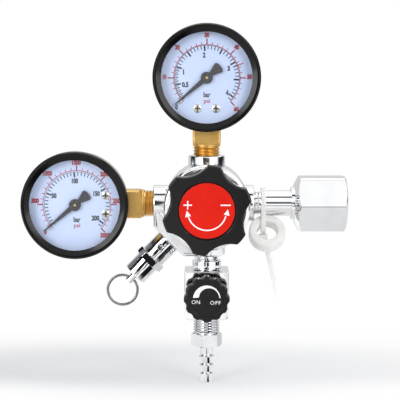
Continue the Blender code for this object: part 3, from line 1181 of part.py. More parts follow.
def make_gauge_socket(name, centre, stem_turn):
    """The brass socket: a square block with a thread, a step for the movement and a drilled feed."""
    turn = facing(FRONT, stem_turn)
    along = turn @ Vector((1, 0, 0))
    across = turn @ Vector((0, 1, 0))
    block_length = GAUGE_BLOCK_END - SOCKET_PAD
    block_size = (block_length, GAUGE_BLOCK_WIDTH, GAUGE_BLOCK_WIDTH)
    socket = box(name + "_socket", block_size, centre + along * (GAUGE_BLOCK_END + SOCKET_PAD) / 2, FRONT, stem_turn)
    soften(socket, GAUGE_BLOCK_EDGE)
    step_length = SOCKET_PAD - SOCKET_STEP + 2 * SOCKET_STEP_INSET
    step_back = SOCKET_STEP_INSET - GAUGE_BLOCK_WIDTH / 2
    step_front = MOVEMENT_BACK - GAP
    step_size = (step_length, GAUGE_BLOCK_WIDTH - 2 * SOCKET_STEP_INSET, step_front - step_back)
    step_place = centre + along * (SOCKET_STEP + step_length / 2) + FRONT * (step_front + step_back) / 2
    join(socket, box(name + "_step", step_size, step_place, FRONT, stem_turn))
    end = GAUGE_STEM + PORT_DEPTH - GAP
    join(socket, turned(name + "_thread", rod(PORT_THREAD_RADIUS, GAUGE_BLOCK_END - MM, end), centre, along,
                        SIDES_MEDIUM))
    drill(socket, name + "_bore", GAUGE_BORE, BORE_END, end + MM, along, centre)
    feed = centre + along * (TUBE_RADIUS * math.cos(tube_start())) + FRONT * TUBE_MIDDLE
    drill(socket, name + "_feed", TUBE_FEED_RADIUS, 0, GAUGE_BLOCK_WIDTH, across, feed)
    finish(socket, BRASS)


def tube_start():
    """Angle from the stem at which the Bourdon tube clears the socket's side."""
    return math.asin((GAUGE_BLOCK_WIDTH / 2 + GAP) / (TUBE_RADIUS - TUBE_HALF_THICKNESS))


def make_gauge_movement(name, centre, stem_turn):
    """The Bourdon tube, the link and the toothed sector, in a frame of two plates."""
    turn = facing(FRONT, stem_turn)
    along = turn @ Vector((1, 0, 0))
    across = turn @ Vector((0, 1, 0))
    tube_piece = arc_sweep(name + "_bourdon_tube", TUBE_RADIUS, TUBE_HALF_THICKNESS, TUBE_HALF_DEPTH,
                           math.degrees(tube_start()), TUBE_END_DEG, 18, centre + FRONT * TUBE_MIDDLE, FRONT,
                           stem_turn)
    finish(tube_piece, BRASS)
    plate_middle = MOVEMENT_BACK + MOVEMENT_PLATE / 2
    frame = flat(name + "_movement_frame", [plate_outline(SOCKET_PAD - GAP)], MOVEMENT_PLATE,
                 centre + FRONT * plate_middle, FRONT, stem_turn)
    front_middle = MOVEMENT_FRONT - MOVEMENT_PLATE / 2
    join(frame, flat(name + "_front_plate", [plate_outline(FRONT_PLATE_REACH)], MOVEMENT_PLATE,
                     centre + FRONT * front_middle, FRONT, stem_turn))
    for number, (x, y) in enumerate(PILLARS):
        join(frame, turned(name + "_pillar_%d" % number, rod(PILLAR_RADIUS, plate_middle, front_middle),
                           centre + along * x + across * y, FRONT, SIDES_TINY))
    arbor = centre - across * GEAR_CENTRES
    for hole_name, hole_place in (("_staff_hole", centre), ("_arbor_hole", arbor)):
        drill(frame, name + hole_name, STAFF_RADIUS + GAP, 0, MOVEMENT_FRONT + MM, FRONT, hole_place)
    finish(frame, BRASS)
    module = 2 * GEAR_CENTRES / (PINION_TEETH * (SECTOR_RATIO + 1))
    sector = flat(name + "_sector", [sector_outline(module)], SECTOR_THICKNESS,
                  arbor + FRONT * (SECTOR_BACK + SECTOR_THICKNESS / 2), FRONT, stem_turn + math.pi / 2)
    join(sector, turned(name + "_arbor", rod(STAFF_RADIUS, MOVEMENT_BACK, MOVEMENT_FRONT), arbor, FRONT, SIDES_TINY))
    finish(sector, BRASS)
    link_back = SECTOR_BACK + SECTOR_THICKNESS + GAP
    tail = arbor - along * SECTOR_TAIL
    tip_turn = math.radians(TUBE_END_DEG)
    tip = centre + (along * math.cos(tip_turn) + across * math.sin(tip_turn)) * TUBE_RADIUS
    half_length = (tip - tail).length / 2
    outline = (arc((half_length, 0), LINK_HALF_WIDTH, -90, 90, 4)
               + arc((-half_length, 0), LINK_HALF_WIDTH, 90, 270, 4))
    heading = math.atan2((tip - tail).z, (tip - tail).x)
    link = flat(name + "_link", [outline], LINK_THICKNESS, (tail + tip) / 2 + FRONT * (link_back + LINK_THICKNESS / 2),
                FRONT, heading)
    finish(link, BRASS)


def make_gauge_pointer(name, centre, stem_turn):
    """The toothed pointer staff and the pointer on it, which rests at zero."""
    module = 2 * GEAR_CENTRES / (PINION_TEETH * (SECTOR_RATIO + 1))
    pitch_radius = GEAR_CENTRES / (SECTOR_RATIO + 1)
    step = 360 / PINION_TEETH
    teeth = teeth_outline(pitch_radius, module, -90 + step / 2, step, PINION_TEETH)
    pinion = flat(name + "_pinion", [teeth], PINION_LENGTH, centre + FRONT * (PINION_BACK + PINION_LENGTH / 2),
                  FRONT, stem_turn)
    hub_back = DIAL_FRONT + POINTER_LIFT
    hub_front = hub_back + POINTER_HUB_LENGTH
    join(pinion, turned(name + "_staff", rod(STAFF_RADIUS, MOVEMENT_BACK, hub_front), centre, FRONT, SIDES_TINY))
    finish(pinion, BRASS)
    tail = POINTER_TAIL - POINTER_TAIL_HALF_WIDTH / 2
    side = [(POINTER_TIP, POINTER_HALF_WIDTH / 8), (POINTER_HUB_RADIUS, POINTER_HALF_WIDTH),
            (-POINTER_HUB_RADIUS, POINTER_HALF_WIDTH), (-tail, POINTER_TAIL_HALF_WIDTH),
            (-POINTER_TAIL, POINTER_TAIL_HALF_WIDTH / 2)]
    outline = side + [(x, -y) for x, y in reversed(side)]
    pointer = flat(name + "_pointer", [outline], POINTER_THICKNESS,
                   centre + FRONT * (hub_back + hub_front) / 2, FRONT, math.radians(POINTER_ZERO_DEG))
    join(pointer, turned(name + "_hub", rod(POINTER_HUB_RADIUS, hub_back, hub_front), centre, FRONT, SIDES_SMALL))
    drill(pointer, name + "_hub_bore", STAFF_RADIUS + GAP, hub_back - MM, hub_front + MM, FRONT, centre)
    finish(pointer, BLACK_PAINT)


def make_gauges():
    """Both pressure gauges, each on its own port and with its dial upright."""
    for name, (direction, reach) in GAUGES.items():
        centre = direction * (reach + GAUGE_STEM)
        stem_turn = math.atan2(-direction.z, -direction.x)
        make_gauge_case(name, centre, stem_turn)
        make_gauge_socket(name, centre, stem_turn)
        make_gauge_movement(name, centre, stem_turn)
        make_gauge_pointer(name, centre, stem_turn)


make_body()
make_valve()
make_diaphragm()
make_bonnet()
make_range_spring()
make_adjusting_screw()
make_adjusting_knob()
make_inlet()
make_washer()
make_tie()
make_outlet_nipple()
make_shutoff_block()
make_shutoff_stem()
make_flow_knob()
make_hose_barb()
make_relief_valve()
make_gauges()
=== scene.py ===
"""Dresses the carbon dioxide regulator: finer pieces, finishes, dial printing, stage, lamps and camera."""
import math

import bmesh
import bpy
from mathutils import Matrix, Vector


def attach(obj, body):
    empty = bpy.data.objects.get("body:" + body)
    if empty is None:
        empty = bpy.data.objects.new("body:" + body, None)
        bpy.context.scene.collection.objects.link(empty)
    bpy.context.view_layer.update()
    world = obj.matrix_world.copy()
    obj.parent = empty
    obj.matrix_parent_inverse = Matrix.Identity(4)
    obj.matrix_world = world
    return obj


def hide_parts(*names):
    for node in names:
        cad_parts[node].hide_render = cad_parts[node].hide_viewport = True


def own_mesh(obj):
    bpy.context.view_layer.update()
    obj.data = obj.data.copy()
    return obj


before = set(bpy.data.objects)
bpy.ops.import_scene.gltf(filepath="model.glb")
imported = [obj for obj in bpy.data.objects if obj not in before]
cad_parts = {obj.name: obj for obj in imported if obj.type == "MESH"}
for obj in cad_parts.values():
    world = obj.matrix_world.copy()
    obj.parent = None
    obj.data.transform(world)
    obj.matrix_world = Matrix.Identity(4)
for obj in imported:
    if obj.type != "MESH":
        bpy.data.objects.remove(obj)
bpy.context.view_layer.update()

# Sizes are in mm about the point where the body's ports cross: X right, Y back, Z up
MM = 0.001
CROSSING_X = -64.5
TO_ROOM = Matrix.Translation((CROSSING_X * MM, 0, 0)) @ Matrix.Scale(MM, 4)
FRONT = Vector((0, -1, 0))
RIGHT = Vector((1, 0, 0))
LEFT = Vector((-1, 0, 0))
UP = Vector((0, 0, 1))
DOWN = Vector((0, 0, -1))
RELIEF_AXIS = Vector((-1, 0, -1)).normalized()
# Faces square to these are truly flat, so that they mirror without a bulge at their fillets
FLAT_WAYS = (RIGHT, FRONT, UP, RELIEF_AXIS)
SIDES = 128
FINE_SIDES = 64
FILLET_STEPS = 5
INK_HEIGHT = 0.03
# Angles of the steps that round an edge over a quarter turn
QUARTER = [math.pi / 2 * k / FILLET_STEPS for k in range(FILLET_STEPS + 1)]


# ---------------------------------------------------------------- finishes

def linear(hex_code):
    """sRGB hex to the linear colour that a shader takes."""
    channels = [int(hex_code[i:i + 2], 16) / 255 for i in (1, 3, 5)]
    return (*[c / 12.92 if c <= 0.04045 else ((c + 0.055) / 1.055) ** 2.4 for c in channels], 1.0)


def node(tree, kind, inputs=None, **settings):
    """Adds a node with its settings, the values of its sockets and its links."""
    made = tree.nodes.new(kind)
    for name, value in settings.items():
        setattr(made, name, value)
    for key, value in (inputs or {}).items():
        if isinstance(value, bpy.types.NodeSocket):
            tree.links.new(value, made.inputs[key])
        else:
            made.inputs[key].default_value = value
    return made


def calc(tree, operation, first, second=0.0):
    """Output of a maths node on two values."""
    return node(tree, "ShaderNodeMath", {0: first, 1: second}, operation=operation).outputs[0]


def ranged(tree, value, start, end, low, high, kind="SMOOTHSTEP", clamp=True):
    """A value that runs from low to high between a start and an end."""
    return node(tree, "ShaderNodeMapRange", {
        "Value": value, "From Min": start, "From Max": end, "To Min": low, "To Max": high},
        interpolation_type=kind, clamp=clamp).outputs[0]


def blank(owner):
    """The emptied node tree of a material or a world."""
    owner.use_nodes = True
    owner.node_tree.nodes.clear()
    return owner.node_tree


def per(size):
    """Pattern scale, in repeats a metre, of a feature of a size in mm."""
    return 1 / (size * MM)


def finish(name, tones, rough, mottle, grain, relief, stretch=(1, 1, 1), **sockets):
    """A surface of two close tones and a range of roughness over a mottle, with a fine relief in it.

    mottle and grain are the patterns' sizes in mm and relief is the grain's depth in mm. stretch slows the
    grain down along an axis, as turning and drawing marks are.
    """
    material = bpy.data.materials.new(name)
    tree = blank(material)
    place = node(tree, "ShaderNodeTexCoord").outputs["Object"]
    cloud = node(tree, "ShaderNodeTexNoise", {"Vector": place, "Scale": per(mottle), "Detail": 3.0})
    tone = node(tree, "ShaderNodeValToRGB", {"Fac": cloud.outputs[0]})
    for stop, position, hex_code in zip(tone.color_ramp.elements, (0.3, 0.7), tones):
        stop.position = position
        stop.color = linear(hex_code)
    run = node(tree, "ShaderNodeMapping", {"Vector": place, "Scale": stretch})
    marks = node(tree, "ShaderNodeTexNoise", {"Vector": run.outputs[0], "Scale": per(grain), "Detail": 2.0})
    gloss = ranged(tree, marks.outputs[0], 0.3, 0.7, *rough, "LINEAR")
    bump = node(tree, "ShaderNodeBump", {"Height": marks.outputs[0], "Distance": relief * MM, "Strength": 1.0})
    shader = node(tree, "ShaderNodeBsdfPrincipled", {
        "Base Color": tone.outputs[0], "Roughness": gloss, "Normal": bump.outputs[0], **sockets})
    node(tree, "ShaderNodeOutputMaterial", {"Surface": shader.outputs[0]})
    return material


# Nickel-chrome plate on buffed brass: a clear cool mirror with a faint haze and a slow ripple from the buff
CHROME = finish("polished_chrome_plate", ("#E9EAEC", "#F4F5F6"), (0.02, 0.05), 14.0, 6.0, 0.003, Metallic=1.0)
# The same plate over the forging's buffed skin, whose reflections have soft edges
SATIN_CHROME = finish("buffed_forging_plate", ("#E4E5E7", "#F0F1F2"), (0.12, 0.17), 14.0, 6.0, 0.0006, Metallic=1.0)
# The same plate on turned and threaded work: fine rings soften what it mirrors
TURNED_CHROME = finish("turned_chrome_plate", ("#D6D7DA", "#E4E5E7"), (0.05, 0.09), 9.0, 0.5, 0.0006,
                       (0.05, 0.05, 1.0), Metallic=1.0)
# Forged and machined brass: warm, satin, with fine tool marks across the block
BRASS = finish("machined_brass", ("#D6AA5E", "#E4BB70"), (0.32, 0.40), 5.0, 0.6, 0.0006, (1.0, 0.1, 0.3),
               Metallic=0.9)
# Drawn spring steel: a grey mirror with marks along the wire
SPRING_STEEL = finish("drawn_spring_steel", ("#808184", "#98999C"), (0.14, 0.24), 3.0, 0.20, 0.002, Metallic=1.0)
# Zinc-plated screws of the dials: a pale warm grey
ZINC = finish("zinc_plated_screw", ("#C9C5B2", "#DEDBCB"), (0.22, 0.34), 1.5, 0.25, 0.002, Metallic=1.0)
# Drawn steel gauge case under a thin clear lacquer: a grey mirror, which shows its neighbours
CASE_STEEL = finish("lacquered_case_steel", ("#7E8084", "#8E9094"), (0.05, 0.09), 8.0, 0.8, 0.0005,
                    (1.0, 0.1, 1.0), Metallic=1.0)
# Black baking enamel of the bezels: deep, with a soft sheen and a trace of orange peel
ENAMEL = finish("black_baking_enamel", ("#080809", "#0D0D0E"), (0.15, 0.20), 6.0, 2.4, 0.0015,
                **{"Specular IOR Level": 0.24})
# Moulded black ABS of the two knobs: satin, with a fine spark-eroded grain
BLACK_ABS = finish("moulded_black_abs", ("#08080A", "#0D0D0F"), (0.30, 0.38), 7.0, 0.45, 0.002,
                   **{"Specular IOR Level": 0.22, "Coat Weight": 0.30, "Coat Roughness": 0.12})
# Moulded red ABS cap: bright, even and glossier than the knob
RED_ABS = finish("moulded_red_abs", ("#D61906", "#DB1E0B"), (0.28, 0.36), 8.0, 0.9, 0.002,
                 **{"Specular IOR Level": 0.2})
# Natural nylon: milky, slightly warm, and soft where light comes through it
NYLON = finish("natural_nylon", ("#F0EEE8", "#F8F7F3"), (0.38, 0.52), 3.5, 0.8, 0.010,
               **{"Subsurface Weight": 0.35, "Subsurface Radius": (1.0, 0.95, 0.85), "Subsurface Scale": 1.5 * MM})
# Matt white dial enamel, its colour painted with the blue cast that the room's light gives it
DIAL_ENAMEL = finish("white_dial_enamel", ("#DDE4F5", "#E6EBF8"), (0.50, 0.60), 12.0, 0.5, 0.002)
# Pad-printed inks: matt and slightly uneven, as ink over enamel is
BLACK_INK = finish("black_dial_ink", ("#0C0D12", "#15171E"), (0.45, 0.60), 1.0, 0.3, 0.001)
RED_INK = finish("red_dial_ink", ("#B00F20", "#C41C2C"), (0.45, 0.60), 1.0, 0.3, 0.001)
WHITE_INK = finish("white_knob_ink", ("#F4F2F4", "#FCFBFC"), (0.40, 0.55), 1.0, 0.3, 0.002)
# Pointer of stamped aluminium under matt black lacquer
LACQUER = finish("matt_black_lacquer", ("#0A0B10", "#11121A"), (0.45, 0.58), 2.0, 0.4, 0.003,
                 **{"Specular IOR Level": 0.3})
# Painted shade for the cross recesses of the dials' screws: dark brown plates where the recesses' floors lie in shade
RECESS_SHADE = finish("painted_screw_recess_shade", ("#2E2416", "#4C3D28"), (0.50, 0.70), 1.0, 0.3, 0.002)
# Moulded nitrile rubber of the diaphragm and the seal
RUBBER = finish("moulded_nitrile", ("#121212", "#1B1B1B"), (0.60, 0.75), 2.0, 0.3, 0.006)
# Pressed bronze powder of the inlet filter: open grains about 0.2 mm across
SINTER = finish("sintered_bronze", ("#7E5A2C", "#B58648"), (0.55, 0.85), 0.25, 0.20, 0.080, Metallic=0.9)


def clear_pane():
    """Cast acrylic of the gauge windows: clear and glossy, and it lets the lamps through to the dial."""
    material = bpy.data.materials.new("cast_acrylic")
    tree = blank(material)
    place = node(tree, "ShaderNodeTexCoord").outputs["Object"]
    wave = node(tree, "ShaderNodeTexNoise", {"Vector": place, "Scale": per(9.0), "Detail": 1.0})
    gloss = ranged(tree, wave.outputs[0], 0.0, 1.0, 0.0, 0.03, "LINEAR")
    shader = node(tree, "ShaderNodeBsdfPrincipled", {
        "Base Color": linear("#F6FAFF"), "Roughness": gloss, "IOR": 1.49, "Transmission Weight": 1.0})
    path = node(tree, "ShaderNodeLightPath").outputs
    open_way = node(tree, "ShaderNodeBsdfTransparent", {"Color": linear("#F4F8FF")})
    either = calc(tree, "MAXIMUM", path["Is Shadow Ray"], path["Is Diffuse Ray"])
    mixed = node(tree, "ShaderNodeMixShader", {0: either, 1: shader.outputs[0], 2: open_way.outputs[0]})
    node(tree, "ShaderNodeOutputMaterial", {"Surface": mixed.outputs[0]})
    return material


ACRYLIC = clear_pane()
FINISHES = {
    "chrome": CHROME, "brass": BRASS, "steel": SPRING_STEEL, "black_plastic": BLACK_ABS,
    "red_plastic": RED_ABS, "rubber": RUBBER, "nylon": NYLON, "black_paint": LACQUER,
    "grey_paint": CASE_STEEL, "clear_plastic": ACRYLIC, "dial_paint": DIAL_ENAMEL, "sintered_bronze": SINTER,
}


# ---------------------------------------------------------------- shapes

def stand(origin, axis, side):
    """Frame at a point, with its Z along an axis and its X towards a side."""
    z = Vector(axis).normalized()
    x = (Vector(side) - z * z.dot(Vector(side))).normalized()
    return Matrix.Translation(Vector(origin)) @ Matrix((x, z.cross(x), z)).transposed().to_4x4()


FACING = stand((0, 0, 0), FRONT, RIGHT)


def eased(corners, closed=False):
    """Points of an outline whose corners (x, y, fillet) are rounded by their fillets."""
    points = []
    for i, (x, y, fillet) in enumerate(corners):
        here = Vector((x, y))
        if fillet <= 0 or (not closed and i in (0, len(corners) - 1)):
            points.append(here)
            continue
        back = Vector(corners[i - 1][:2]) - here
        ahead = Vector(corners[(i + 1) % len(corners)][:2]) - here
        angle = back.angle(ahead)
        if angle > math.radians(178):
            points.append(here)
            continue
        reach = min(fillet / math.tan(angle / 2), back.length * 0.49, ahead.length * 0.49)
        radius = reach * math.tan(angle / 2)
        centre = here + (back.normalized() + ahead.normalized()).normalized() * radius / math.sin(angle / 2)
        start = here + back.normalized() * reach - centre
        end = here + ahead.normalized() * reach - centre
        sweep = start.angle_signed(end)
        for k in range(FILLET_STEPS + 1):
            turn = Matrix.Rotation(-sweep * k / FILLET_STEPS, 2)
            points.append(centre + turn @ start)
    return points


def loft(bm, rings, loop=False):
    """Skins a row of rings; a ring of one point is a pole, and open ends are filled."""
    rows = [[bm.verts.new(point) for point in ring] for ring in rings]
    pairs = list(zip(rows, rows[1:]))
    if loop:
        pairs.append((rows[-1], rows[0]))
    for low, high in pairs:
        count = max(len(low), len(high))
        for k in range(count):
            after = (k + 1) % count
            corners = (low[k % len(low)], low[after % len(low)], high[after % len(high)], high[k % len(high)])
            corners = list(dict.fromkeys(corners))
            if len(corners) > 2:
                bm.faces.new(corners)
    for end in (rows[0], rows[-1]):
        if not loop and len(end) > 2:
            bm.faces.new(end)


def turned(bm, place, corners, sides=SIDES, loop=False):
    """A turned solid from profile corners (along, radius, fillet) on the Z axis of a frame."""
    rings = []
    for along, radius in eased(corners, loop):
        if radius < 1e-6:
            rings.append([place @ Vector((0, 0, along))])
        else:
            steps = [math.tau * k / sides for k in range(sides)]
            rings.append([place @ Vector((radius * math.cos(a), radius * math.sin(a), along)) for a in steps])
    loft(bm, rings, loop)


def plate(bm, place, outline, low, high, edge=0.0):
    """A plate of a convex outline between two heights, its rims rounded by an edge."""
    rings = []
    if edge > 0:
        heights = [(low + edge * (1 - math.sin(a)), edge * (1 - math.cos(a))) for a in reversed(QUARTER)]
        heights += [(high - edge * (1 - math.sin(a)), edge * (1 - math.cos(a))) for a in QUARTER]
    else:
        heights = [(low, 0.0), (high, 0.0)]
    for height, step_in in heights:
        rings.append([place @ Vector((*point, height)) for point in inset(outline, step_in)])
    loft(bm, rings)


def crowned(bm, place, outline, half, edge, crown):
    """A plate whose two faces fall away by a crown from the middle of the outline, as buffed castings do."""
    middle = sum(outline, Vector((0, 0))) / len(outline)
    front = [(half - crown - edge * (1 - math.sin(a)), edge * (1 - math.cos(a)), 1.0) for a in QUARTER]
    front += [(half - crown * share ** 2, edge, share) for share in (0.85, 0.65, 0.4, 0.15)]
    rings = []
    for height, step_in, share in front:
        ring = [middle + (point - middle) * share for point in inset(outline, step_in)]
        rings.append([place @ Vector((*point, height)) for point in ring])
    back = [[Vector((p.x, -p.y, p.z)) for p in ring] for ring in rings]
    loft(bm, back[::-1] + rings)


def inset(outline, distance):
    """A closed counterclockwise outline moved inwards by a distance."""
    if distance == 0:
        return outline
    moved = []
    for i, here in enumerate(outline):
        back = (here - outline[i - 1]).normalized()
        ahead = (outline[(i + 1) % len(outline)] - here).normalized()
        normal = Vector((-back.y - ahead.y, back.x + ahead.x)).normalized()
        moved.append(here + normal * distance / max(0.3, normal.dot(Vector((-ahead.y, ahead.x)))))
    return moved


def arc_band(bm, place, inner, outer, first, last, low, high, steps=90):
    """A flat band along an arc between two angles in degrees."""
    rings = []
    for k in range(steps + 1):
        a = math.radians(first + (last - first) * k / steps)
        way = Vector((math.cos(a), math.sin(a), 0))
        rings.append([place @ (way * radius + Vector((0, 0, height)))
                      for radius, height in ((inner, low), (outer, low), (outer, high), (inner, high))])
    loft(bm, rings)


def lobed(lobes, lobe_radius, valley_radius, scoop_radius, turn, blur, count):
    """Radius of a scooped knob at evenly spaced angles, its corners softened over a blur in degrees."""
    centre = valley_radius + scoop_radius

    def sharp(angle):
        period = math.tau / lobes
        off = (angle - turn + period / 2) % period - period / 2
        off = period / 2 - abs(off)
        room = scoop_radius ** 2 - (centre * math.sin(off)) ** 2
        if room <= 0:
            return lobe_radius
        return min(lobe_radius, centre * math.cos(off) - math.sqrt(room))

    spread = [math.radians(blur) * (k / 6) for k in range(-6, 7)]
    weights = [1.1 - abs(k / 6) for k in range(-6, 7)]
    radii = []
    for k in range(count):
        angle = math.tau * k / count
        radii.append(sum(sharp(angle + s) * w for s, w in zip(spread, weights)) / sum(weights))
    return radii


def knob_skin(bm, place, radii, stations):
    """A knob from stations (height, inset from the lobed edge) or (height, None, radius) for round ones."""
    rings = []
    count = len(radii)
    for station in stations:
        ring = []
        for k, radius in enumerate(radii):
            r = station[2] if station[1] is None else radius - station[1]
            a = math.tau * k / count
            ring.append(place @ Vector((r * math.cos(a), r * math.sin(a), station[0])))
        if station[1] is None and station[2] == 0:
            ring = ring[:1]
        rings.append(ring)
    loft(bm, rings)


def rim(height, edge, rising):
    """Stations that round a knob's edge up to, or away from, a face at a height."""
    sign = 1 if rising else -1
    stations = [(height - sign * edge * (1 - math.sin(a)), edge * (1 - math.cos(a))) for a in QUARTER]
    return stations if rising else stations[::-1]


def settled(mesh_object):
    """The plain mesh that an object's modifiers give; the object is then removed."""
    bpy.context.view_layer.update()
    made = bpy.data.meshes.new_from_object(mesh_object.evaluated_get(bpy.context.evaluated_depsgraph_get()))
    bpy.data.objects.remove(mesh_object)
    return made


def loose(bm, name="work"):
    """A plain object of a skin, used up by a later step."""
    bmesh.ops.recalc_face_normals(bm, faces=bm.faces)
    mesh = bpy.data.meshes.new(name)
    bm.to_mesh(mesh)
    bm.free()
    obj = bpy.data.objects.new(name, mesh)
    bpy.context.scene.collection.objects.link(obj)
    return obj


def carved(bm, tool, operation):
    """A skin cut by another, or what they have in common."""
    body = loose(bm)
    cutter = loose(tool, "cutter")
    boolean = body.modifiers.new("cut", "BOOLEAN")
    boolean.object = cutter
    boolean.operation = operation
    boolean.solver = "EXACT"
    made = settled(body)
    bpy.data.objects.remove(cutter)
    result = bmesh.new()
    result.from_mesh(made)
    return result


def hexagon(flats, edge):
    """Outline of a hexagon with a corner on its X axis and its corners eased."""
    corner = flats / math.sqrt(3)
    return eased([(corner * math.cos(math.tau * k / 6), corner * math.sin(math.tau * k / 6), edge)
                  for k in range(6)], closed=True)


def hex_nut(place, flats, low, high, face, slope, edge=0.5, low_end=None):
    """A hexagon whose ends are turned down to a face radius at a slope, which leaves its curved corners."""
    body = bmesh.new()
    plate(body, place, hexagon(flats, edge), low, high)
    corner = flats / math.sqrt(3) + 0.5
    low_face, low_slope = low_end or (face, slope)
    lathe = bmesh.new()
    turned(lathe, place, [(low, 0, 0), (low, low_face, 0.25), (low + (corner - low_face) * low_slope, corner, 0),
                          (high - (corner - face) * slope, corner, 0), (high, face, 0.25), (high, 0, 0)])
    return carved(body, lathe, "INTERSECT")


def piece(bm, name, body, surface, slot, *replaced, crease=32.0):
    """Finishes a skin in mm as an object in metres that rides on its body and stands for CAD nodes."""
    obj = loose(bm, name)
    obj.data.transform(TO_ROOM)
    obj.data.materials.clear()
    obj.data.materials.append(surface)
    obj.data.shade_smooth()
    obj.data.set_sharp_from_angle(angle=math.radians(crease))
    for face in obj.data.polygons:
        square_on = any(abs(face.normal.dot(way)) > 0.99999 for way in FLAT_WAYS)
        if square_on or (len(face.vertices) > 4 and face.area > 12 * MM * MM):
            face.use_smooth = False
    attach(obj, body)
    if replaced:
        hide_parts(*replaced)
    return obj


def turned_piece(name, body, surface, slot, place, corners, *replaced, sides=SIDES, loop=False):
    """One turned solid as a finished piece."""
    bm = bmesh.new()
    turned(bm, place, corners, sides, loop)
    return piece(bm, name, body, surface, slot, *replaced)


def bar(bm, height, length, width, thick):
    """A small block centred above the origin at a height."""
    size = Matrix.Diagonal((length, width, thick, 1))
    bmesh.ops.create_cube(bm, size=1.0, matrix=Matrix.Translation((0, 0, height)) @ size)


def lettering(bm, place, words, width, height, bold=0.02, spread=1.0):
    """Words as flat ink of a width and height, centred on a frame and facing its Z."""
    curve = bpy.data.curves.new("lettering", "FONT")
    curve.body = words
    curve.offset = bold
    curve.space_character = spread
    curve.extrude = 0.5
    curve.resolution_u = 3
    obj = bpy.data.objects.new("lettering", curve)
    bpy.context.scene.collection.objects.link(obj)
    mesh = settled(obj)
    xs = [v.co.x for v in mesh.vertices]
    ys = [v.co.y for v in mesh.vertices]
    middle = Vector((-(min(xs) + max(xs)) / 2, -(min(ys) + max(ys)) / 2, 0.5))
    size = Matrix.Diagonal((width / (max(xs) - min(xs)), height / (max(ys) - min(ys)), INK_HEIGHT, 1))
    mesh.transform(place @ size @ Matrix.Translation(middle))
    bm.from_mesh(mesh)


# ---------------------------------------------------------------- repeated shapes

def tree_of(name, sizes):
    """A geometry tree with a named input for each size, and those inputs."""
    tree = bpy.data.node_groups.new(name, "GeometryNodeTree")
    tree.interface.new_socket("Geometry", in_out="INPUT", socket_type="NodeSocketGeometry")
    for size, kind in sizes.items():
        tree.interface.new_socket(size, in_out="INPUT", socket_type="NodeSocket" + kind)
    tree.interface.new_socket("Geometry", in_out="OUTPUT", socket_type="NodeSocketGeometry")
    return tree, node(tree, "NodeGroupInput").outputs


def close_tree(tree, geometry, material):
    """Ends a tree with real geometry in its material."""
    real = node(tree, "GeometryNodeRealizeInstances", {"Geometry": geometry})
    coated = node(tree, "GeometryNodeSetMaterial", {"Geometry": real.outputs[0], "Material": material})
    node(tree, "NodeGroupOutput", {"Geometry": coated.outputs[0]})
    return tree


def marks_tree():
    """Marks of a dial, evenly spaced along an arc."""
    tree, size = tree_of("dial_marks", {
        "Marks": "Int", "First Angle": "Float", "Last Angle": "Float", "Inner Radius": "Float",
        "Outer Radius": "Float", "Mark Width": "Float", "Ink Height": "Float", "Ink": "Material"})
    steps = calc(tree, "SUBTRACT", size["Marks"], 1.0)
    index = node(tree, "GeometryNodeInputIndex").outputs[0]
    turn = ranged(tree, index, 0.0, steps, size["First Angle"], size["Last Angle"], "LINEAR", False)
    length = calc(tree, "SUBTRACT", size["Outer Radius"], size["Inner Radius"])
    middle = calc(tree, "MULTIPLY", calc(tree, "ADD", size["Outer Radius"], size["Inner Radius"]), 0.5)
    out = node(tree, "ShaderNodeCombineXYZ", {"X": middle})
    spot = node(tree, "ShaderNodeVectorRotate", {"Vector": out.outputs[0], "Angle": turn},
                rotation_type="Z_AXIS")
    points = node(tree, "GeometryNodePoints", {"Count": size["Marks"], "Position": spot.outputs[0]})
    block = node(tree, "ShaderNodeCombineXYZ", {
        "X": length, "Y": size["Mark Width"], "Z": size["Ink Height"]})
    mark = node(tree, "GeometryNodeMeshCube", {"Size": block.outputs[0]})
    lean = node(tree, "ShaderNodeCombineXYZ", {"Z": turn})
    copies = node(tree, "GeometryNodeInstanceOnPoints", {
        "Points": points.outputs[0], "Instance": mark.outputs[0], "Rotation": lean.outputs[0]})
    return close_tree(tree, copies.outputs[0], size["Ink"])


def coil_tree():
    """A bar wound round the Z axis: the ridge of a thread or the turns of a split ring."""
    tree, size = tree_of("wound_bar", {
        "Turns": "Float", "Rise": "Float", "Radius": "Float", "Bar Width": "Float", "Bar Height": "Float",
        "Bar Sides": "Int", "Steps Per Turn": "Int", "Metal": "Material"})
    path = node(tree, "GeometryNodeCurveSpiral", {
        "Resolution": size["Steps Per Turn"], "Rotations": size["Turns"], "Start Radius": size["Radius"],
        "End Radius": size["Radius"], "Height": size["Rise"]})
    level = node(tree, "GeometryNodeSetCurveNormal", {"Curve": path.outputs[0]}, mode="Z_UP")
    section = node(tree, "GeometryNodeCurvePrimitiveCircle", {"Resolution": size["Bar Sides"], "Radius": 0.5})
    shape = node(tree, "ShaderNodeCombineXYZ", {"X": size["Bar Width"], "Y": size["Bar Height"], "Z": 1.0})
    drawn = node(tree, "GeometryNodeTransform", {"Geometry": section.outputs[0], "Scale": shape.outputs[0]})
    bar = node(tree, "GeometryNodeCurveToMesh", {
        "Curve": level.outputs[0], "Profile Curve": drawn.outputs[0], "Fill Caps": True})
    return close_tree(tree, bar.outputs[0], size["Metal"])


def row_tree():
    """Copies of one small shape in a straight row."""
    tree, size = tree_of("straight_row", {
        "Count": "Int", "First Place": "Vector", "Step": "Vector", "Metal": "Material"})
    line = node(tree, "GeometryNodeMeshLine", {
        "Count": size["Count"], "Start Location": size["First Place"], "Offset": size["Step"]}, mode="OFFSET")
    copies = node(tree, "GeometryNodeInstanceOnPoints", {
        "Points": line.outputs[0], "Instance": size["Geometry"]})
    return close_tree(tree, copies.outputs[0], size["Metal"])


MARKS = marks_tree()
COIL = coil_tree()
ROW = row_tree()


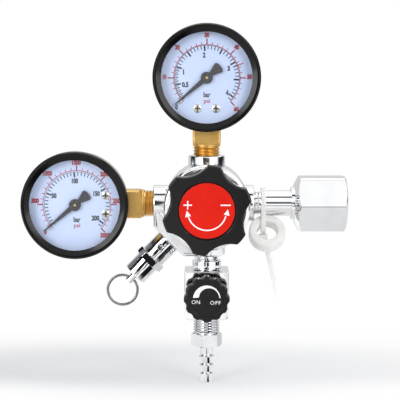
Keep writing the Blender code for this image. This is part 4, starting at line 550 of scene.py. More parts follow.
def grown(bm, place, tree, sizes, seed_shape=None):
    """Adds to a skin what a tree makes of its sizes, in a frame."""
    obj = loose(seed_shape if seed_shape else bmesh.new(), tree.name)
    modifier = obj.modifiers.new(tree.name, "NODES")
    modifier.node_group = tree
    for item in tree.interface.items_tree:
        if item.in_out == "INPUT" and item.name in sizes:
            modifier[item.identifier] = sizes[item.name]
    mesh = settled(obj)
    mesh.transform(place)
    bm.from_mesh(mesh)


def thread(bm, place, crest, root, start, end, pitch, metal):
    """The ridge of a screw thread along a frame's Z, between its crest and its root radius."""
    place = place @ Matrix.Translation((0, 0, start))
    grown(bm, place, COIL, {
        "Turns": (end - start) / pitch, "Rise": end - start, "Radius": root, "Bar Width": 2 * abs(crest - root),
        "Bar Height": 0.98 * pitch, "Bar Sides": 4, "Steps Per Turn": 64, "Metal": metal})


# ---------------------------------------------------------------- body, bonnet and adjusting knob

def make_body():
    """The forged body with its chamber and valve bore, four port bosses, and the web of the relief valve."""
    bm = bmesh.new()
    turned(bm, FACING, [
        (-10.5, 0, 0), (-10.5, 21.2, 2.2), (12.5, 21.2, 0.4), (12.5, 17.5, 0), (8.0, 17.5, 0), (8.0, 13.5, 0),
        (5.0, 13.5, 0), (5.0, 4.4, 0), (-8.5, 4.4, 0), (-8.5, 0, 0)])
    for axis, side, reach in ((LEFT, UP, 27.0), (RIGHT, UP, 24.0), (UP, RIGHT, 24.5), (DOWN, RIGHT, 26.5)):
        turned(bm, stand((0, 0, 0), axis, side), [(17.6, 0, 0), (17.6, 9.35, 0), (reach, 9.35, 0.9), (reach, 0, 0)])
    web = [(-26.7, 0, 0), (-26.7, -11.3, 1.2), (-11.8, -26.2, 1.2), (0, -26.2, 0)]
    crowned(bm, FACING, eased(web, closed=True), 8.6, 1.2, 0.12)
    piece(bm, "forged_body", "regulator", SATIN_CHROME, "chrome", "regulator_body")
    turned_piece("spring_bonnet", "regulator", CHROME, "chrome", FACING, [
        (12.8, 21.2, 0.4), (27.0, 21.2, 1.9), (27.0, 12.7, 0.4), (36.5, 12.7, 0.9), (36.5, 3.3, 0), (34.0, 3.3, 0),
        (34.0, 10.6, 0), (11.6, 10.6, 0), (11.6, 13.5, 0), (9.4, 13.5, 0), (9.4, 17.2, 0), (12.8, 17.2, 0)],
        "bonnet", loop=True)


def make_range_spring():
    """The range spring between the diaphragm's plate and the climbing nut."""
    foot, length, wire = 11.2, 16.9, 2.4
    bm = bmesh.new()
    grown(bm, stand(FRONT * (foot + wire / 2), FRONT, RIGHT), COIL, {
        "Turns": 4.0, "Rise": length - wire, "Radius": 8.8, "Bar Width": wire, "Bar Height": wire, "Bar Sides": 16,
        "Steps Per Turn": 64, "Metal": SPRING_STEEL})
    spring = piece(bm, "range_spring_coil", "regulator", SPRING_STEEL, "steel", "range_spring", crease=45.0)
    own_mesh(spring)


def make_adjusting_knob():
    """The six-lobed knob with its recess, its red cap and the signs printed on the cap."""
    place = FACING
    radii = lobed(6, 21.8, 18.0, 15.4, math.radians(20.1), 1.6, 480)
    stations = [(36.8, None, 0), (36.8, None, 13.6), (28.3, None, 13.6), *rim(28.3, 0.9, False),
                *rim(41.0, 0.9, True), (41.0, None, 14.35), (40.85, None, 14.1), (40.5, None, 13.98),
                (39.0, None, 13.98), (39.0, None, 0)]
    bm = bmesh.new()
    knob_skin(bm, place, radii, stations)
    piece(bm, "adjusting_knob_moulding", "adjuster", BLACK_ABS, "black_plastic", "adjusting_knob")
    cap_face = 40.55
    turned_piece("adjusting_knob_cap", "adjuster", RED_ABS, "red_plastic", place, [
        (39.2, 0, 0), (39.2, 13.35, 0.1), (cap_face, 13.35, 0.25), (cap_face, 0, 0)], "knob_cap")
    bm = bmesh.new()
    low, high = cap_face - 0.05, cap_face + INK_HEIGHT
    bars = ((-9.2, 2.8, 2.05, 0.3, 0), (-9.2, 2.8, 0.3, 2.05, 0.01), (8.9, 2.75, 2.4, 0.3, 0))
    for x, y, half_x, half_y, lift in bars:
        corners = [(x - half_x, y - half_y, 0.1), (x + half_x, y - half_y, 0.1),
                   (x + half_x, y + half_y, 0.1), (x - half_x, y + half_y, 0.1)]
        plate(bm, place, eased(corners, closed=True), low, high + lift)
    arc_band(bm, place, 9.0, 9.6, 199, 344, low, high)
    for tip, foot, half in ((Vector((-9.65, 0.15)), Vector((-9.0, -2.7)), 1.4),
                            (Vector((9.95, 0.85)), Vector((9.35, -2.0)), 1.4)):
        across = (tip - foot).orthogonal().normalized() * half
        corners = [foot - across, tip, foot + across]
        if (corners[1] - corners[0]).cross(corners[2] - corners[0]) < 0:
            corners.reverse()
        plate(bm, place, corners, low, high)
    piece(bm, "adjusting_knob_signs", "adjuster", WHITE_INK, "red_plastic")


# ---------------------------------------------------------------- inlet, union nut, washer and tie

def make_inlet():
    """The inlet nipple with its threaded neck, the filter in its nose, and the union nut."""
    place = stand((0, 0, 0), RIGHT, UP)
    bm = bmesh.new()
    turned(bm, place, [
        (15, 0, 0), (15, 5.5, 0), (27.3, 5.5, 0), (27.5, 6.6, 0.25), (51.6, 6.6, 0.2), (51.6, 9.4, 0.3),
        (54.6, 9.4, 0.5), (54.8, 7.6, 0.2), (64.5, 7.6, 0.9), (64.5, 3.5, 0.1), (57.5, 3.5, 0), (57.5, 0, 0)])
    thread(bm, place, 6.1, 5.45, 23.6, 27.2, 1.34, CHROME)
    piece(bm, "inlet_tube", "regulator", CHROME, "chrome", "inlet_nipple")
    turned_piece("inlet_filter_disc", "regulator", SINTER, "sintered_bronze", place, [
        (57.7, 0, 0), (57.7, 3.4, 0.1), (63.7, 3.4, 0.3), (63.7, 0, 0)], "inlet_filter", sides=FINE_SIDES)
    turn = math.radians(-2.0)
    nut = hex_nut(stand((0, 0, 0), RIGHT, (0, -math.cos(turn), math.sin(turn))), 27.0, 44.3, 70.5, 13.1, 0.62, 1.5,
                  (9.9, 0.53))
    lip = bmesh.new()
    turned(lip, place, [(42.7, 0, 0), (42.7, 8.4, 0.4), (46, 8.4, 0), (46, 0, 0)])
    nut = carved(nut, lip, "UNION")
    bore = bmesh.new()
    turned(bore, place, [(40, 0, 0), (40, 6.9, 0), (51.3, 6.9, 0), (51.3, 10.3, 0), (69.3, 10.3, 0),
                         (71.5, 12.5, 0), (71.5, 0, 0)])
    nut = carved(nut, bore, "DIFFERENCE")
    thread(nut, place, 9.6, 10.3, 52.6, 68.8, 1.81, CHROME)
    piece(nut, "union_nut", "inlet_nut", CHROME, "chrome", "inlet_nut")


TIE_X = 28.7
TIE_HEAD_Z = -17.2


def belt_path(steps=120):
    """Middle line of the tie's strap, round the tube and through the washer, as points (y, z) and outward ways."""
    low = Vector((-1.9, -10.2))
    big, small = 7.45, 5.1
    heading = math.atan2(low.y, low.x)
    spread = math.acos((big - small) / low.length)
    points = []
    for k in range(steps):
        a = heading + spread + (math.tau - 2 * spread) * k / (steps - 1)
        points.append((Vector((math.cos(a), math.sin(a))) * big, Vector((math.cos(a), math.sin(a)))))
    for k in range(steps // 2):
        a = heading - spread + 2 * spread * k / (steps // 2 - 1)
        points.append((low + Vector((math.cos(a), math.sin(a))) * small, Vector((math.cos(a), math.sin(a)))))
    return points


def make_washer_and_tie():
    """The spare nylon washer, and the tie whose strap, head and tail hold it to the inlet tube."""
    tilt = math.radians(35.0)
    leaning = stand((30.4, -6.3, -14.7), (0, -math.cos(tilt), math.sin(tilt)), RIGHT)
    turned_piece("spare_nylon_washer", "spare_washer", NYLON, "nylon", leaning, [
        (-3.75, 9.15, 1.3), (3.75, 9.15, 1.3), (3.75, 5.2, 0.9), (-3.75, 5.2, 0.9)], "spare_washer", loop=True)
    bm = bmesh.new()
    section = eased([(-1.2, -0.5, 0.3), (1.2, -0.5, 0.3), (1.2, 0.5, 0.3), (-1.2, 0.5, 0.3)], closed=True)
    rings = []
    for spot, way in belt_path():
        rings.append([Vector((TIE_X + p.x, spot.x + way.x * p.y, spot.y + way.y * p.y)) for p in section])
    loft(bm, rings, loop=True)
    head = eased([(-2.2, -2.0, 0.5), (2.2, -2.0, 0.5), (2.2, 2.0, 0.5), (-2.2, 2.0, 0.5)], closed=True)
    plate(bm, stand((TIE_X, -2.8, TIE_HEAD_Z), UP, RIGHT), head, -1.7, 1.7, 0.4)
    tail = ((-1, -0.5), (-0.8, -1), (0.8, -1), (1, -0.5), (1, 0.5), (0.8, 1), (-0.8, 1), (-1, 0.5))
    rings = []
    steps = 40
    for k in range(steps + 1):
        t = k / steps
        x = TIE_X + 6.5 * t + 4.0 * t * (1 - t)
        half = (2.5 - 0.5 * t) / 2 * min(1.0, 0.2 + (1 - t) / 0.45)
        thick = 0.39 * (1 - 0.4 * t)
        rings.append([Vector((x + half * c, -1.5 + thick * s, TIE_HEAD_Z - 31.6 * t)) for c, s in tail])
    loft(bm, rings)
    piece(bm, "nylon_cable_tie", "spare_washer", NYLON, "nylon", "cable_tie")


# ---------------------------------------------------------------- outlet

STEM = DOWN * 45.7


def make_outlet():
    """The outlet nipple, the shut-off block and the gland nut behind the small knob."""
    place = stand((0, 0, 0), DOWN, RIGHT)
    bm = bmesh.new()
    turned(bm, place, [(17, 0, 0), (17, 5.6, 0), (28.8, 5.6, 0.1), (29.0, 7.35, 0.6), (33.3, 7.35, 0.5),
                       (33.4, 5.5, 0), (40, 5.5, 0), (40, 0, 0)])
    thread(bm, place, 6.3, 5.55, 25.9, 28.6, 1.34, CHROME)
    piece(bm, "outlet_nipple_turning", "regulator", CHROME, "chrome", "outlet_nipple")
    bm = bmesh.new()
    outline = eased([(-11.2, -58.4, 2.6), (11.2, -58.4, 2.6), (11.2, -33.6, 0.6), (-11.2, -33.6, 0.6)], closed=True)
    plate(bm, FACING, outline, -10.5, 10.5, 0.6)
    piece(bm, "shutoff_block_body", "regulator", CHROME, "chrome", "shutoff_block")
    gland = hex_nut(stand(STEM, FRONT, RIGHT), 13.0, 10.8, 14.4, 6.3, 0.6, 0.3)
    piece(gland, "gland_nut_hexagon", "regulator", CHROME, "chrome", "gland_nut")


def make_flow_knob():
    """The small scalloped knob with its printed wedge and words."""
    place = stand(STEM, FRONT, RIGHT)
    radii = lobed(12, 11.4, 10.6, 2.8, math.radians(0.0), 2.0, 480)
    stations = [(19.9, None, 0), (19.9, None, 8.6), (15.45, None, 8.6), *rim(15.45, 0.5, False),
                *rim(23.45, 0.9, True), (23.45, None, 8.75), (23.38, None, 8.6), (23.15, None, 8.45),
                (23.15, None, 0)]
    bm = bmesh.new()
    knob_skin(bm, place, radii, stations)
    turned(bm, place, [(15.45, 0, 0), (15.45, 4.2, 0.2), (20.5, 4.2, 0), (20.5, 0, 0)], FINE_SIDES)
    piece(bm, "flow_knob_moulding", "flow_valve", BLACK_ABS, "black_plastic", "flow_knob")
    bm = bmesh.new()
    low, high = 23.1, 23.15 + INK_HEIGHT
    rings = []
    steps = 48
    for k in range(steps + 1):
        a = math.radians(175 - 172 * k / steps)
        outer = Vector((0, 0.28)) + Vector((math.cos(a), math.sin(a))) * 6.8
        inner = Vector((1.1, 0.7)) + Vector((math.cos(a), math.sin(a))) * 5.05
        if (outer - inner).length < 0.3:
            inner = outer - (outer - inner).normalized() * 0.3
        rings.append([place @ Vector((*p, h)) for p, h in ((inner, low), (outer, low), (outer, high), (inner, high))])
    loft(bm, rings)
    lettering(bm, place @ Matrix.Translation((-5.4, -1.2, high - INK_HEIGHT)), "ON", 4.1, 1.85, 0.0, 1.15)
    lettering(bm, place @ Matrix.Translation((4.3, -1.55, high - INK_HEIGHT)), "OFF", 5.2, 1.85, 0.0, 1.15)
    piece(bm, "flow_knob_print", "flow_valve", WHITE_INK, "black_plastic")


def make_hose_barb():
    """The hose tail: its thread, hexagon, and barbed and bored shank."""
    place = stand((0, 0, 0), DOWN, RIGHT)
    turn = math.radians(49)
    barb = hex_nut(stand((0, 0, 0), DOWN, (math.cos(turn), -math.sin(turn), 0)), 14.0, 66.6, 73.3, 6.9, 0.55, 0.35)
    turned(barb, place, [(52, 0, 0), (52, 5.85, 0), (66.9, 5.85, 0), (66.9, 0, 0)])
    thread(barb, place, 6.8, 5.85, 57.6, 66.2, 1.32, TURNED_CHROME)
    turned(barb, place, [
        (73.0, 1.9, 0), (73.0, 3.2, 0), (77.5, 3.2, 0.3), (78.0, 2.8, 0.3), (78.5, 3.85, 0.2), (82.1, 3.1, 0.3),
        (82.6, 2.6, 0.3), (83.0, 3.6, 0.2), (86.6, 3.0, 0.3), (87.1, 2.5, 0.3), (87.5, 3.35, 0.2), (92.0, 2.8, 0.25),
        (92.0, 1.9, 0.15)], FINE_SIDES, loop=True)
    piece(barb, "hose_barb_turning", "regulator", TURNED_CHROME, "chrome", "hose_barb")


# ---------------------------------------------------------------- relief valve

def make_relief_valve():
    """The relief valve's vented barrel, its spring cap with a hexagon, the drilled stem and the split ring."""
    place = stand((0, 0, 0), RELIEF_AXIS, FRONT)
    bm = bmesh.new()
    turned(bm, place, [(24, 0, 0), (24, 4.8, 0), (27.2, 4.8, 0), (27.2, 6.65, 0.3), (38.4, 6.65, 0.4),
                       (38.4, 5.8, 0), (40, 5.8, 0), (40, 0, 0)])
    drill = bmesh.new()
    lean = math.radians(12)
    vent = FRONT * math.cos(lean) + RELIEF_AXIS.cross(FRONT) * math.sin(lean)
    turned(drill, stand(RELIEF_AXIS * 31.6, vent, RELIEF_AXIS), [(-9, 0, 0), (-9, 1.4, 0), (6.0, 1.4, 0), (7.2, 2.4, 0),
                                                         (7.2, 0, 0)], FINE_SIDES)
    bm = carved(bm, drill, "DIFFERENCE")
    piece(bm, "relief_barrel", "regulator", CHROME, "chrome", "relief_body")
    turn = math.radians(6)
    corner = RELIEF_AXIS.cross(FRONT) * math.cos(turn) - FRONT * math.sin(turn)
    cap = hex_nut(stand((0, 0, 0), RELIEF_AXIS, corner), 13.51, 38.7, 42.1, 7.1, 0.45, 0.3)
    turned(cap, place, [(38.0, 0, 0), (38.0, 6.0, 0), (41.0, 6.4, 0), (51.6, 6.4, 0.6), (51.6, 2.6, 0.2),
                        (50.6, 2.3, 0), (50.6, 0, 0)])
    piece(cap, "relief_spring_cap", "regulator", CHROME, "chrome", "relief_cap")
    stem = bmesh.new()
    turned(stem, place, [(29.5, 0, 0), (29.5, 2.0, 0), (56.6, 2.0, 0.4), (56.6, 0, 0)], FINE_SIDES)
    across = bmesh.new()
    turned(across, stand(RELIEF_AXIS * 54.2, RELIEF_AXIS.cross(FRONT), FRONT),
           [(-4, 0, 0), (-4, 1.35, 0), (4, 1.35, 0), (4, 0, 0)], FINE_SIDES)
    stem = carved(stem, across, "DIFFERENCE")
    piece(stem, "relief_pull_stem", "relief_stem", CHROME, "chrome", "relief_stem")
    ring = bmesh.new()
    centre = Vector((-42.90, -0.33, -44.39))
    grown(ring, stand(centre, -FRONT, RELIEF_AXIS), COIL, {
        "Turns": 2.0, "Rise": 0.66, "Radius": 7.6, "Bar Width": 1.3, "Bar Height": 0.63, "Bar Sides": 12,
        "Steps Per Turn": 96, "Metal": SPRING_STEEL})
    piece(ring, "split_pull_ring", "pull_ring", SPRING_STEEL, "steel", "pull_ring", crease=45.0)


# ---------------------------------------------------------------- gauges

ZERO = 225.0
SWEEP = 270.0
BAR_STEP = 6.526
POINTER_REST = 220.0
DIAL_FACE = 8.1


def scale_print(bm, place, ink, rows):
    """Rows of marks (count, first angle, last angle, inner radius, outer radius, width) in one ink."""
    for count, first, last, inner, outer, width in rows:
        grown(bm, place, MARKS, {
            "Marks": count, "First Angle": math.radians(first), "Last Angle": math.radians(last),
            "Inner Radius": inner, "Outer Radius": outer, "Mark Width": width, "Ink Height": 2 * INK_HEIGHT,
            "Ink": ink})


def numerals(bm, place, entries, digit_width, height, bold):
    """Numerals (text, radius, angle in degrees) of a scale, all upright."""
    for words, radius, angle in entries:
        a = math.radians(angle)
        narrow = sum(0.45 if c in ".1" else 1.0 for c in words)
        spot = Matrix.Translation((radius * math.cos(a), radius * math.sin(a), 0))
        lettering(bm, place @ spot, words, digit_width * narrow, height, bold)


DIALS = {
    "low_pressure_gauge": {
        "red": [(6, ZERO - SWEEP / 6, ZERO - SWEEP, 16.5, 19.5, 0.62),
                (30, ZERO - SWEEP / 30, ZERO - SWEEP, 16.5, 17.9, 0.36), (1, 22, 22, 14.1, 19.6, 0.5)],
        "arc": (16.34, 16.72),
        "black": [(8, ZERO - 5 * BAR_STEP, ZERO - 40 * BAR_STEP, 13.3, 16.1, 0.85),
                  (41, ZERO - BAR_STEP, ZERO - 41 * BAR_STEP, 14.2, 16.1, 0.46),
                  (20, ZERO - BAR_STEP / 2, ZERO - 10 * BAR_STEP, 14.7, 16.1, 0.3)],
        "red_numerals": ([("10", 21.1, 178.5), ("20", 21.1, 134), ("30", 21.2, 90), ("40", 21.2, 46),
                          ("50", 21.2, 1.5), ("60", 21.2, -46.5)], 1.25, 2.55),
        "black_numerals": ([("0", 20.9, 223.5), ("0.5", 11.3, 197), ("1", 12.0, 166), ("2", 11.4, 97),
                            ("3", 11.8, 23.5), ("4", 12.4, -36)], 1.35, 2.7),
        "units": (-8.3, -11.8),
        "shift": (0.1, -0.1),
    },
    "high_pressure_gauge": {
        "red": [(6, ZERO - SWEEP / 6, ZERO - SWEEP, 17.0, 19.9, 0.62),
                (30, ZERO - SWEEP / 30, ZERO - SWEEP, 17.0, 18.5, 0.36)],
        "arc": (16.84, 17.22),
        "black": [(4, ZERO - 10 * BAR_STEP, ZERO - 40 * BAR_STEP, 13.7, 16.3, 0.85),
                  (41, ZERO - BAR_STEP, ZERO - 41 * BAR_STEP, 14.5, 16.3, 0.46)],
        "red_numerals": ([("0", 21.2, 221), ("500", 21.0, 174.9), ("1000", 21.3, 133), ("1500", 21.1, 90.3),
                          ("2000", 20.9, 47), ("2500", 20.6, 5.0), ("3000", 21.1, -47.7)], 1.3, 2.6),
        "black_numerals": ([("50", 12.3, 159), ("100", 11.9, 94.3), ("150", 11.3, 29), ("200", 11.5, -36.6)],
                           1.3, 2.7),
        "units": (-7.6, -10.9),
        "shift": (0.9, 0.2),
    },
}
GAUGES = {
    "low_pressure_gauge": (Vector((0, 0, 63.5)), DOWN, "low_pressure_pointer"),
    "high_pressure_gauge": (Vector((-66.0, 0, 0)), RIGHT, "high_pressure_pointer"),
}


def make_gauge_shell(name, centre):
    """The drawn case, the rolled bezel and the clear window."""
    place = stand(centre, FRONT, RIGHT)
    turned_piece(name + "_drawn_case", "regulator", CASE_STEEL, "grey_paint", place, [
        (-11.0, 0, 0), (-11.0, 25.8, 2.6), (10.3, 25.8, 0.1), (10.3, 24.8, 0.1), (-9.9, 24.8, 1.4), (-9.9, 0, 0)],
        name + "_case")
    turned_piece(name + "_rolled_bezel", "regulator", ENAMEL, "black_paint", place, [
        (7.3, 26.9, 0.2), (13.0, 26.9, 0.6), (14.0, 26.1, 0.6), (13.8, 25.1, 0.8), (12.9, 22.6, 0.15),
        (12.6, 22.7, 0.05), (12.6, 26.0, 0.05), (7.3, 26.0, 0.1)], name + "_bezel", loop=True)
    turned_piece(name + "_pane", "regulator", ACRYLIC, "clear_plastic", place, [
        (10.6, 0, 0), (10.6, 25.7, 0.1), (12.4, 25.7, 0.1), (12.4, 0, 0)], name + "_window")


def make_dial(name, centre, stem):
    """The dial plate with its two scales, its fixing screws with painted shade in their recesses, and its stop pin."""
    place = stand(centre, FRONT, RIGHT)
    data = DIALS[name]
    turned_piece(name + "_dial_plate", "regulator", DIAL_ENAMEL, "dial_paint", place, [
        (7.3, 1.5, 0), (7.3, 24.5, 0.1), (DIAL_FACE, 24.5, 0.1), (DIAL_FACE, 1.5, 0.1)], name + "_dial", loop=True)
    face = place @ Matrix.Translation((*data["shift"], DIAL_FACE))
    red = bmesh.new()
    scale_print(red, face, RED_INK, data["red"])
    arc_band(red, face, *data["arc"], ZERO, ZERO - SWEEP, -INK_HEIGHT, INK_HEIGHT)
    entries, width, height = data["red_numerals"]
    numerals(red, face, entries, width, height, 0.075)
    lettering(red, face @ Matrix.Translation((0, data["units"][1], 0)), "psi", 3.1, 2.6, 0.02)
    piece(red, name + "_red_scale", "regulator", RED_INK, "dial_paint", crease=60.0)
    black = bmesh.new()
    scale_print(black, face, BLACK_INK, data["black"])
    outer = data["black"][0][4]
    arc_band(black, face, outer - 0.1, outer + 0.1, ZERO - BAR_STEP, ZERO - 41 * BAR_STEP, -INK_HEIGHT, INK_HEIGHT)
    entries, width, height = data["black_numerals"]
    numerals(black, face, entries, width, height, 0.065)
    lettering(black, face @ Matrix.Translation((0, data["units"][0], 0)), "bar", 3.5, 2.7, 0.04)
    piece(black, name + "_black_scale", "regulator", BLACK_INK, "dial_paint", crease=60.0)
    screw = bmesh.new()
    turned(screw, Matrix.Identity(4),
           [(-0.3, 0, 0), (-0.3, 2.2, 0), (0.15, 2.2, 0.15), (0.5, 1.4, 0.6), (0.55, 0, 0)], 40)
    # Dark plates on the floors of the screws' cross recesses: painted shade
    recess = bmesh.new()
    for length, width in ((3.1, 0.9), (0.9, 3.1)):
        bar(recess, 0.2, length - 0.02, width - 0.02, 0.08)
        cross = bmesh.new()
        bar(cross, 0.6, length, width, 0.9)
        screw = carved(screw, cross, "DIFFERENCE")
    pair = stand(centre + FRONT * DIAL_FACE + stem * 15.3, FRONT, FRONT.cross(stem))
    spacing = {"Count": 2, "First Place": (-4.6, 0, 0), "Step": (9.2, 0, 0)}
    bm = bmesh.new()
    grown(bm, pair, ROW, {**spacing, "Metal": ZINC}, screw)
    floors = bmesh.new()
    grown(floors, pair, ROW, {**spacing, "Metal": RECESS_SHADE}, recess)
    # The recess plates are painted shade, in a dark brown
    piece(floors, name + "_painted_recess_shade", "regulator", RECESS_SHADE, "steel")
    pin = math.radians(POINTER_REST + 3.2)
    turned(bm, face @ Matrix.Translation((17.4 * math.cos(pin), 17.4 * math.sin(pin), 0)),
           [(-0.2, 0, 0), (-0.2, 0.55, 0), (1.5, 0.55, 0.15), (1.5, 0, 0)], 24)
    piece(bm, name + "_dial_fixings", "regulator", ZINC, "steel")


def make_pointer(name, centre, body):
    """The stamped pointer with its flared tail and round hub."""
    place = stand(centre, FRONT, RIGHT) @ Matrix.Rotation(math.radians(POINTER_REST), 4, "Z")
    bm = bmesh.new()
    half = [(20.6, 0.26, 0.05), (3.0, 1.25, 0.0), (-2.6, 1.05, 0.5), (-8.1, 3.0, 0.8), (-8.9, 1.4, 2.0)]
    outline = eased(half + [(x, -y, f) for x, y, f in reversed(half)], closed=True)
    rings = []
    for height, shrink in ((9.1, 0.0), (9.62, 0.0), (9.7, 0.06)):
        rings.append([place @ Vector((*p, height)) for p in inset(outline, shrink)])
    loft(bm, rings)
    turned(bm, place, [(8.7, 0.75, 0), (8.7, 3.0, 0.1), (10.1, 3.0, 0.35), (10.1, 0.75, 0.1)], FINE_SIDES, loop=True)
    piece(bm, name + "_stamped_pointer", body, LACQUER, "black_paint", name + "_pointer")


def make_socket(name, centre, stem):
    """The brass socket: a chamfered square block and the thread that enters the body."""
    across = FRONT.cross(stem)
    place = stand(centre, stem, across)
    bm = bmesh.new()
    square = eased([(-7, -7, 0.9), (7, -7, 0.9), (7, 7, 0.9), (-7, 7, 0.9)], closed=True)
    plate(bm, place, square, 13.5, 35.0)
    lathe = bmesh.new()
    turned(lathe, place, [(13.5, 0, 0), (13.5, 10.2, 0), (31.4, 10.2, 1.0), (33.2, 8.0, 1.0), (33.3, 7.0, 0.2),
                          (34.4, 7.0, 0.4), (34.4, 0, 0)])
    bm = carved(bm, lathe, "INTERSECT")
    turned(bm, place, [(34, 0, 0), (34, 6.1, 0), (42, 6.1, 0), (42, 0, 0)])
    thread(bm, place, 6.8, 6.1, 34.5, 39.6, 1.5, BRASS)
    piece(bm, name + "_brass_block", "regulator", BRASS, "brass", name + "_socket")


def make_gauges():
    """Both gauges, each on its own port."""
    for name, (centre, stem, pointer_body) in GAUGES.items():
        make_gauge_shell(name, centre)
        make_dial(name, centre, stem)
        make_pointer(name, centre, pointer_body)
        make_socket(name, centre, stem)


# ---------------------------------------------------------------- stage, lamps and camera

FLOOR = -92.05
FLOOR_RADIUS = 300.0
# Middle and reach in mm of the floor's shadowed area: the object's own shadow and the painted shadow band
SHADE_MIDDLE = Vector((-20, 30, FLOOR))
SHADE_REACH = Vector((190, 95, 1))


def make_stage():
    """A round pale floor with the object's shadow and a painted soft shadow band; mirrors see the room through it."""
    material = bpy.data.materials.new("pale_studio_floor")
    tree = blank(material)
    place = node(tree, "ShaderNodeTexCoord").outputs["Object"]
    centred = node(tree, "ShaderNodeVectorMath", {0: place, 1: TO_ROOM @ SHADE_MIDDLE}, operation="SUBTRACT")
    scaled = node(tree, "ShaderNodeVectorMath", {0: centred.outputs[0], 1: SHADE_REACH * MM}, operation="DIVIDE")
    out = node(tree, "ShaderNodeVectorMath", {0: scaled.outputs[0]}, operation="LENGTH").outputs["Value"]
    # The floor is plain white far out, and takes more of the object's shadow towards the middle
    path = node(tree, "ShaderNodeLightPath").outputs
    seen = calc(tree, "MAXIMUM", path["Is Camera Ray"], path["Is Transmission Ray"])
    share = calc(tree, "MULTIPLY", seen, ranged(tree, out, 0.15, 1.0, 0.40, 1.0))
    # Painted shadow: a grey band behind the object, stronger at its left
    spot = node(tree, "ShaderNodeSeparateXYZ", {0: place}).outputs
    shade = calc(tree, "MULTIPLY", ranged(tree, spot["Y"], 150 * MM, 20 * MM, 0.0, 1.0),
                 ranged(tree, spot["Y"], -25 * MM, 22 * MM, 0.0, 1.0))
    shade = calc(tree, "MULTIPLY", shade, ranged(
        tree, spot["X"], (CROSSING_X - 40) * MM, (CROSSING_X + 45) * MM, 0.40, 0.18))
    shade = calc(tree, "MULTIPLY", shade, ranged(tree, out, 0.45, 0.95, 1.0, 0.35, "LINEAR"))
    paper = node(tree, "ShaderNodeBsdfDiffuse", {"Color": linear("#F7F8F9")})
    # The painted shadow dims the floor's white emission
    white = node(tree, "ShaderNodeEmission", {"Color": (1, 1, 1, 1), "Strength": calc(tree, "SUBTRACT", 1.0, shade)})
    mixed = node(tree, "ShaderNodeMixShader", {0: share, 1: paper.outputs[0], 2: white.outputs[0]})
    open_way = node(tree, "ShaderNodeBsdfTransparent")
    whole = node(tree, "ShaderNodeMixShader", {0: path["Is Glossy Ray"], 1: mixed.outputs[0], 2: open_way.outputs[0]})
    node(tree, "ShaderNodeOutputMaterial", {"Surface": whole.outputs[0]})
    bm = bmesh.new()
    steps = [math.tau * k / SIDES for k in range(SIDES)]
    loft(bm, [[Vector((0, 0, FLOOR))]] + [[Vector((r * math.cos(a), r * math.sin(a), FLOOR)) for a in steps]
                                          for r in (100.0, 200.0, FLOOR_RADIUS)])
    bm.faces.ensure_lookup_table()
    bmesh.ops.delete(bm, geom=[f for f in bm.faces if len(f.verts) > 4], context="FACES_ONLY")
    floor = loose(bm, "studio_floor")
    floor.data.transform(TO_ROOM)
    floor.data.materials.append(material)


# Dark flags at the sides, as degrees to the side and of height: middle, half width and softness of each
SIDE_FLAGS = (((97, 22, 0.2), (7, 16, 0.1)), ((-97, 22, 0.2), (7, 16, 0.1)), ((-92, 40, 0.15), (33, 12, 0.3)),
              ((124, 13, 0.2), (13, 15, 0.2)))
# Dark flags round the slanted relief valve: middle and half width in degrees
VALVE_FLAGS = ((55, 26), (-17, 11), (-100, 33))


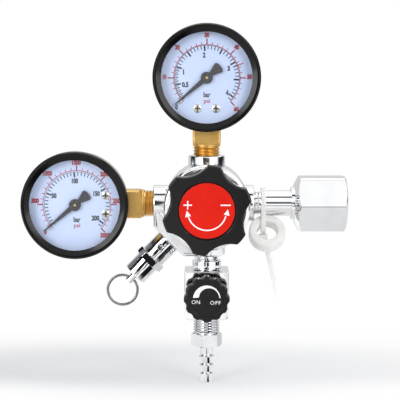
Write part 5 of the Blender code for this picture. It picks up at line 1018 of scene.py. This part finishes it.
def make_room():
    """A white room: even light on matt surfaces, and for mirrors the dark gaps between its soft boxes."""
    world = bpy.data.worlds.new("studio_room")
    bpy.context.scene.world = world
    tree = blank(world)
    way = node(tree, "ShaderNodeTexCoord").outputs["Generated"]
    axis = node(tree, "ShaderNodeSeparateXYZ", {0: way}).outputs

    def along(direction):
        """How far a direction of view leans towards another."""
        return node(tree, "ShaderNodeVectorMath", {0: way, 1: direction}, operation="DOT_PRODUCT").outputs["Value"]

    def band(value, middle, half, soft=0.35):
        """1 inside a band of a value and 0 outside it."""
        off = calc(tree, "ABSOLUTE", calc(tree, "SUBTRACT", value, middle))
        return ranged(tree, off, half * (1 + soft), half * (1 - soft), 0.0, 1.0)

    def arc(value, middle, half, soft=0.35):
        """A band of an angle, in degrees."""
        return band(value, math.radians(middle), math.radians(half), soft)

    def both(first, second, share=1.0):
        """Where two bands cross, at a share of full strength."""
        return calc(tree, "MULTIPLY", calc(tree, "MULTIPLY", first, second), share)

    ahead = calc(tree, "MULTIPLY", axis["Y"], -1.0)
    rise = calc(tree, "ARCTAN2", axis["Z"], ahead)
    side = calc(tree, "ARCTAN2", axis["X"], ahead)
    height = calc(tree, "ARCSINE", axis["Z"])
    round_valve = calc(tree, "ARCTAN2", along(FRONT.cross(RELIEF_AXIS)), ahead)
    on_valve = band(along(RELIEF_AXIS), 0.06, 0.2, 0.3)
    near_middle = band(axis["X"], 0.0, 0.5, 0.3)
    # The dark gap that flat front faces mirror, with a bright window that has a dark slit in it
    gap = calc(tree, "MAXIMUM", both(arc(rise, -1.0, 8.5, 0.15), arc(side, 0.0, 19.0, 0.3)),
               both(arc(rise, -4.0, 13.5, 0.12), arc(side, 4.6, 3.4, 0.12)))
    window = both(arc(rise, -5.2, 6.8, 0.15), arc(side, -2.8, 4.3, 0.12))
    slit = both(arc(rise, -3.8, 0.8, 0.2), arc(side, -0.9, 0.7, 0.2))
    window = both(window, calc(tree, "SUBTRACT", 1.0, slit))
    patches = [both(gap, calc(tree, "SUBTRACT", 1.0, window)),
               both(arc(rise, -17.0, 4.0), arc(side, -3.0, 4.0), 0.7),
               both(arc(rise, 61.5, 6.4, 0.1), near_middle), both(arc(rise, 116.0, 3.5), near_middle, 0.55)]
    patches += [both(arc(side, *across), arc(height, *up)) for across, up in SIDE_FLAGS]
    patches += [both(arc(round_valve, *flag, 0.12), on_valve) for flag in VALVE_FLAGS]
    dark = patches[0]
    for patch in patches[1:]:
        dark = calc(tree, "MAXIMUM", dark, patch)
    tone = node(tree, "ShaderNodeMix", {"Factor": dark, "A": (1, 1, 1, 1), "B": (0.012, 0.012, 0.013, 1)},
                data_type="RGBA")
    # The room is dimmer behind the object and under it
    behind = calc(tree, "MAXIMUM", arc(side, 180.0, 60.0, 0.2), arc(side, -180.0, 60.0, 0.2))
    level = calc(tree, "SUBTRACT", 1.14, both(behind, arc(height, 9.0, 24.0, 0.3), 0.44))
    level = calc(tree, "SUBTRACT", level, calc(tree, "MULTIPLY", arc(height, -75.0, 40.0, 0.3), 0.30))
    path = node(tree, "ShaderNodeLightPath").outputs
    mirror = node(tree, "ShaderNodeBackground", {"Strength": level})
    tree.links.new([s for s in tone.outputs if s.type == "RGBA"][0], mirror.inputs["Color"])
    plain = node(tree, "ShaderNodeBackground", {"Color": (1, 1, 1, 1), "Strength": 1.0})
    soft = node(tree, "ShaderNodeBackground", {"Color": linear("#F6F8FF"), "Strength": 0.58})
    clear = calc(tree, "MAXIMUM", path["Is Camera Ray"], path["Is Transmission Ray"])
    lit = node(tree, "ShaderNodeMixShader", {0: path["Is Glossy Ray"], 1: soft.outputs[0], 2: mirror.outputs[0]})
    whole = node(tree, "ShaderNodeMixShader", {0: clear, 1: lit.outputs[0], 2: plain.outputs[0]})
    node(tree, "ShaderNodeOutputWorld", {"Surface": whole.outputs[0]})


def make_lamp(name, place, aim, size, power, tint="#FFFFFF"):
    """A soft box at a place, facing a point; places in mm about the crossing, power in watts."""
    light = bpy.data.lights.new(name, "AREA")
    light.shape = "RECTANGLE"
    light.size = size[0] * MM
    light.size_y = size[1] * MM
    light.energy = power
    light.color = linear(tint)[:3]
    lamp = bpy.data.objects.new(name, light)
    bpy.context.scene.collection.objects.link(lamp)
    lamp.location = TO_ROOM @ Vector(place)
    lamp.rotation_euler = (Vector(aim) - Vector(place)).to_track_quat("-Z", "Y").to_euler()


def make_lamps():
    """A large soft box over the front left, a weaker one at the right and one overhead."""
    make_lamp("left_box", (-520, -640, 240), (0, 0, 0), (300, 520), 2.8)
    make_lamp("right_box", (470, -680, 270), (0, 0, 0), (340, 520), 2.2)
    make_lamp("top_box", (0, 60, 800), (0, 0, 0), (700, 500), 2.5)


AIM = Vector((-3.35, 0, 1.67))
DISTANCE = 648.0
ELEVATION = math.radians(5.1)


def make_camera():
    """The photograph's view: straight in front and a little above, through a long lens."""
    camera = bpy.data.cameras.new("front_camera")
    camera.sensor_width = 36
    camera.lens = 114.7
    camera.clip_start = 0.02
    camera.clip_end = 20
    eye = bpy.data.objects.new("front_camera", camera)
    bpy.context.scene.collection.objects.link(eye)
    place = AIM + Vector((0, -math.cos(ELEVATION), math.sin(ELEVATION))) * DISTANCE
    eye.location = TO_ROOM @ place
    eye.rotation_euler = (AIM - place).to_track_quat("-Z", "Y").to_euler()
    bpy.context.scene.camera = eye


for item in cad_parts.values():
    for material_slot in item.material_slots:
        material_slot.material = FINISHES[material_slot.material.name]

make_camera()
make_body()
make_range_spring()
make_adjusting_knob()
make_inlet()
make_washer_and_tie()
make_outlet()
make_flow_knob()
make_hose_barb()
make_relief_valve()
make_gauges()
make_stage()
make_room()
make_lamps()
bpy.context.scene.view_settings.view_transform = "Standard"
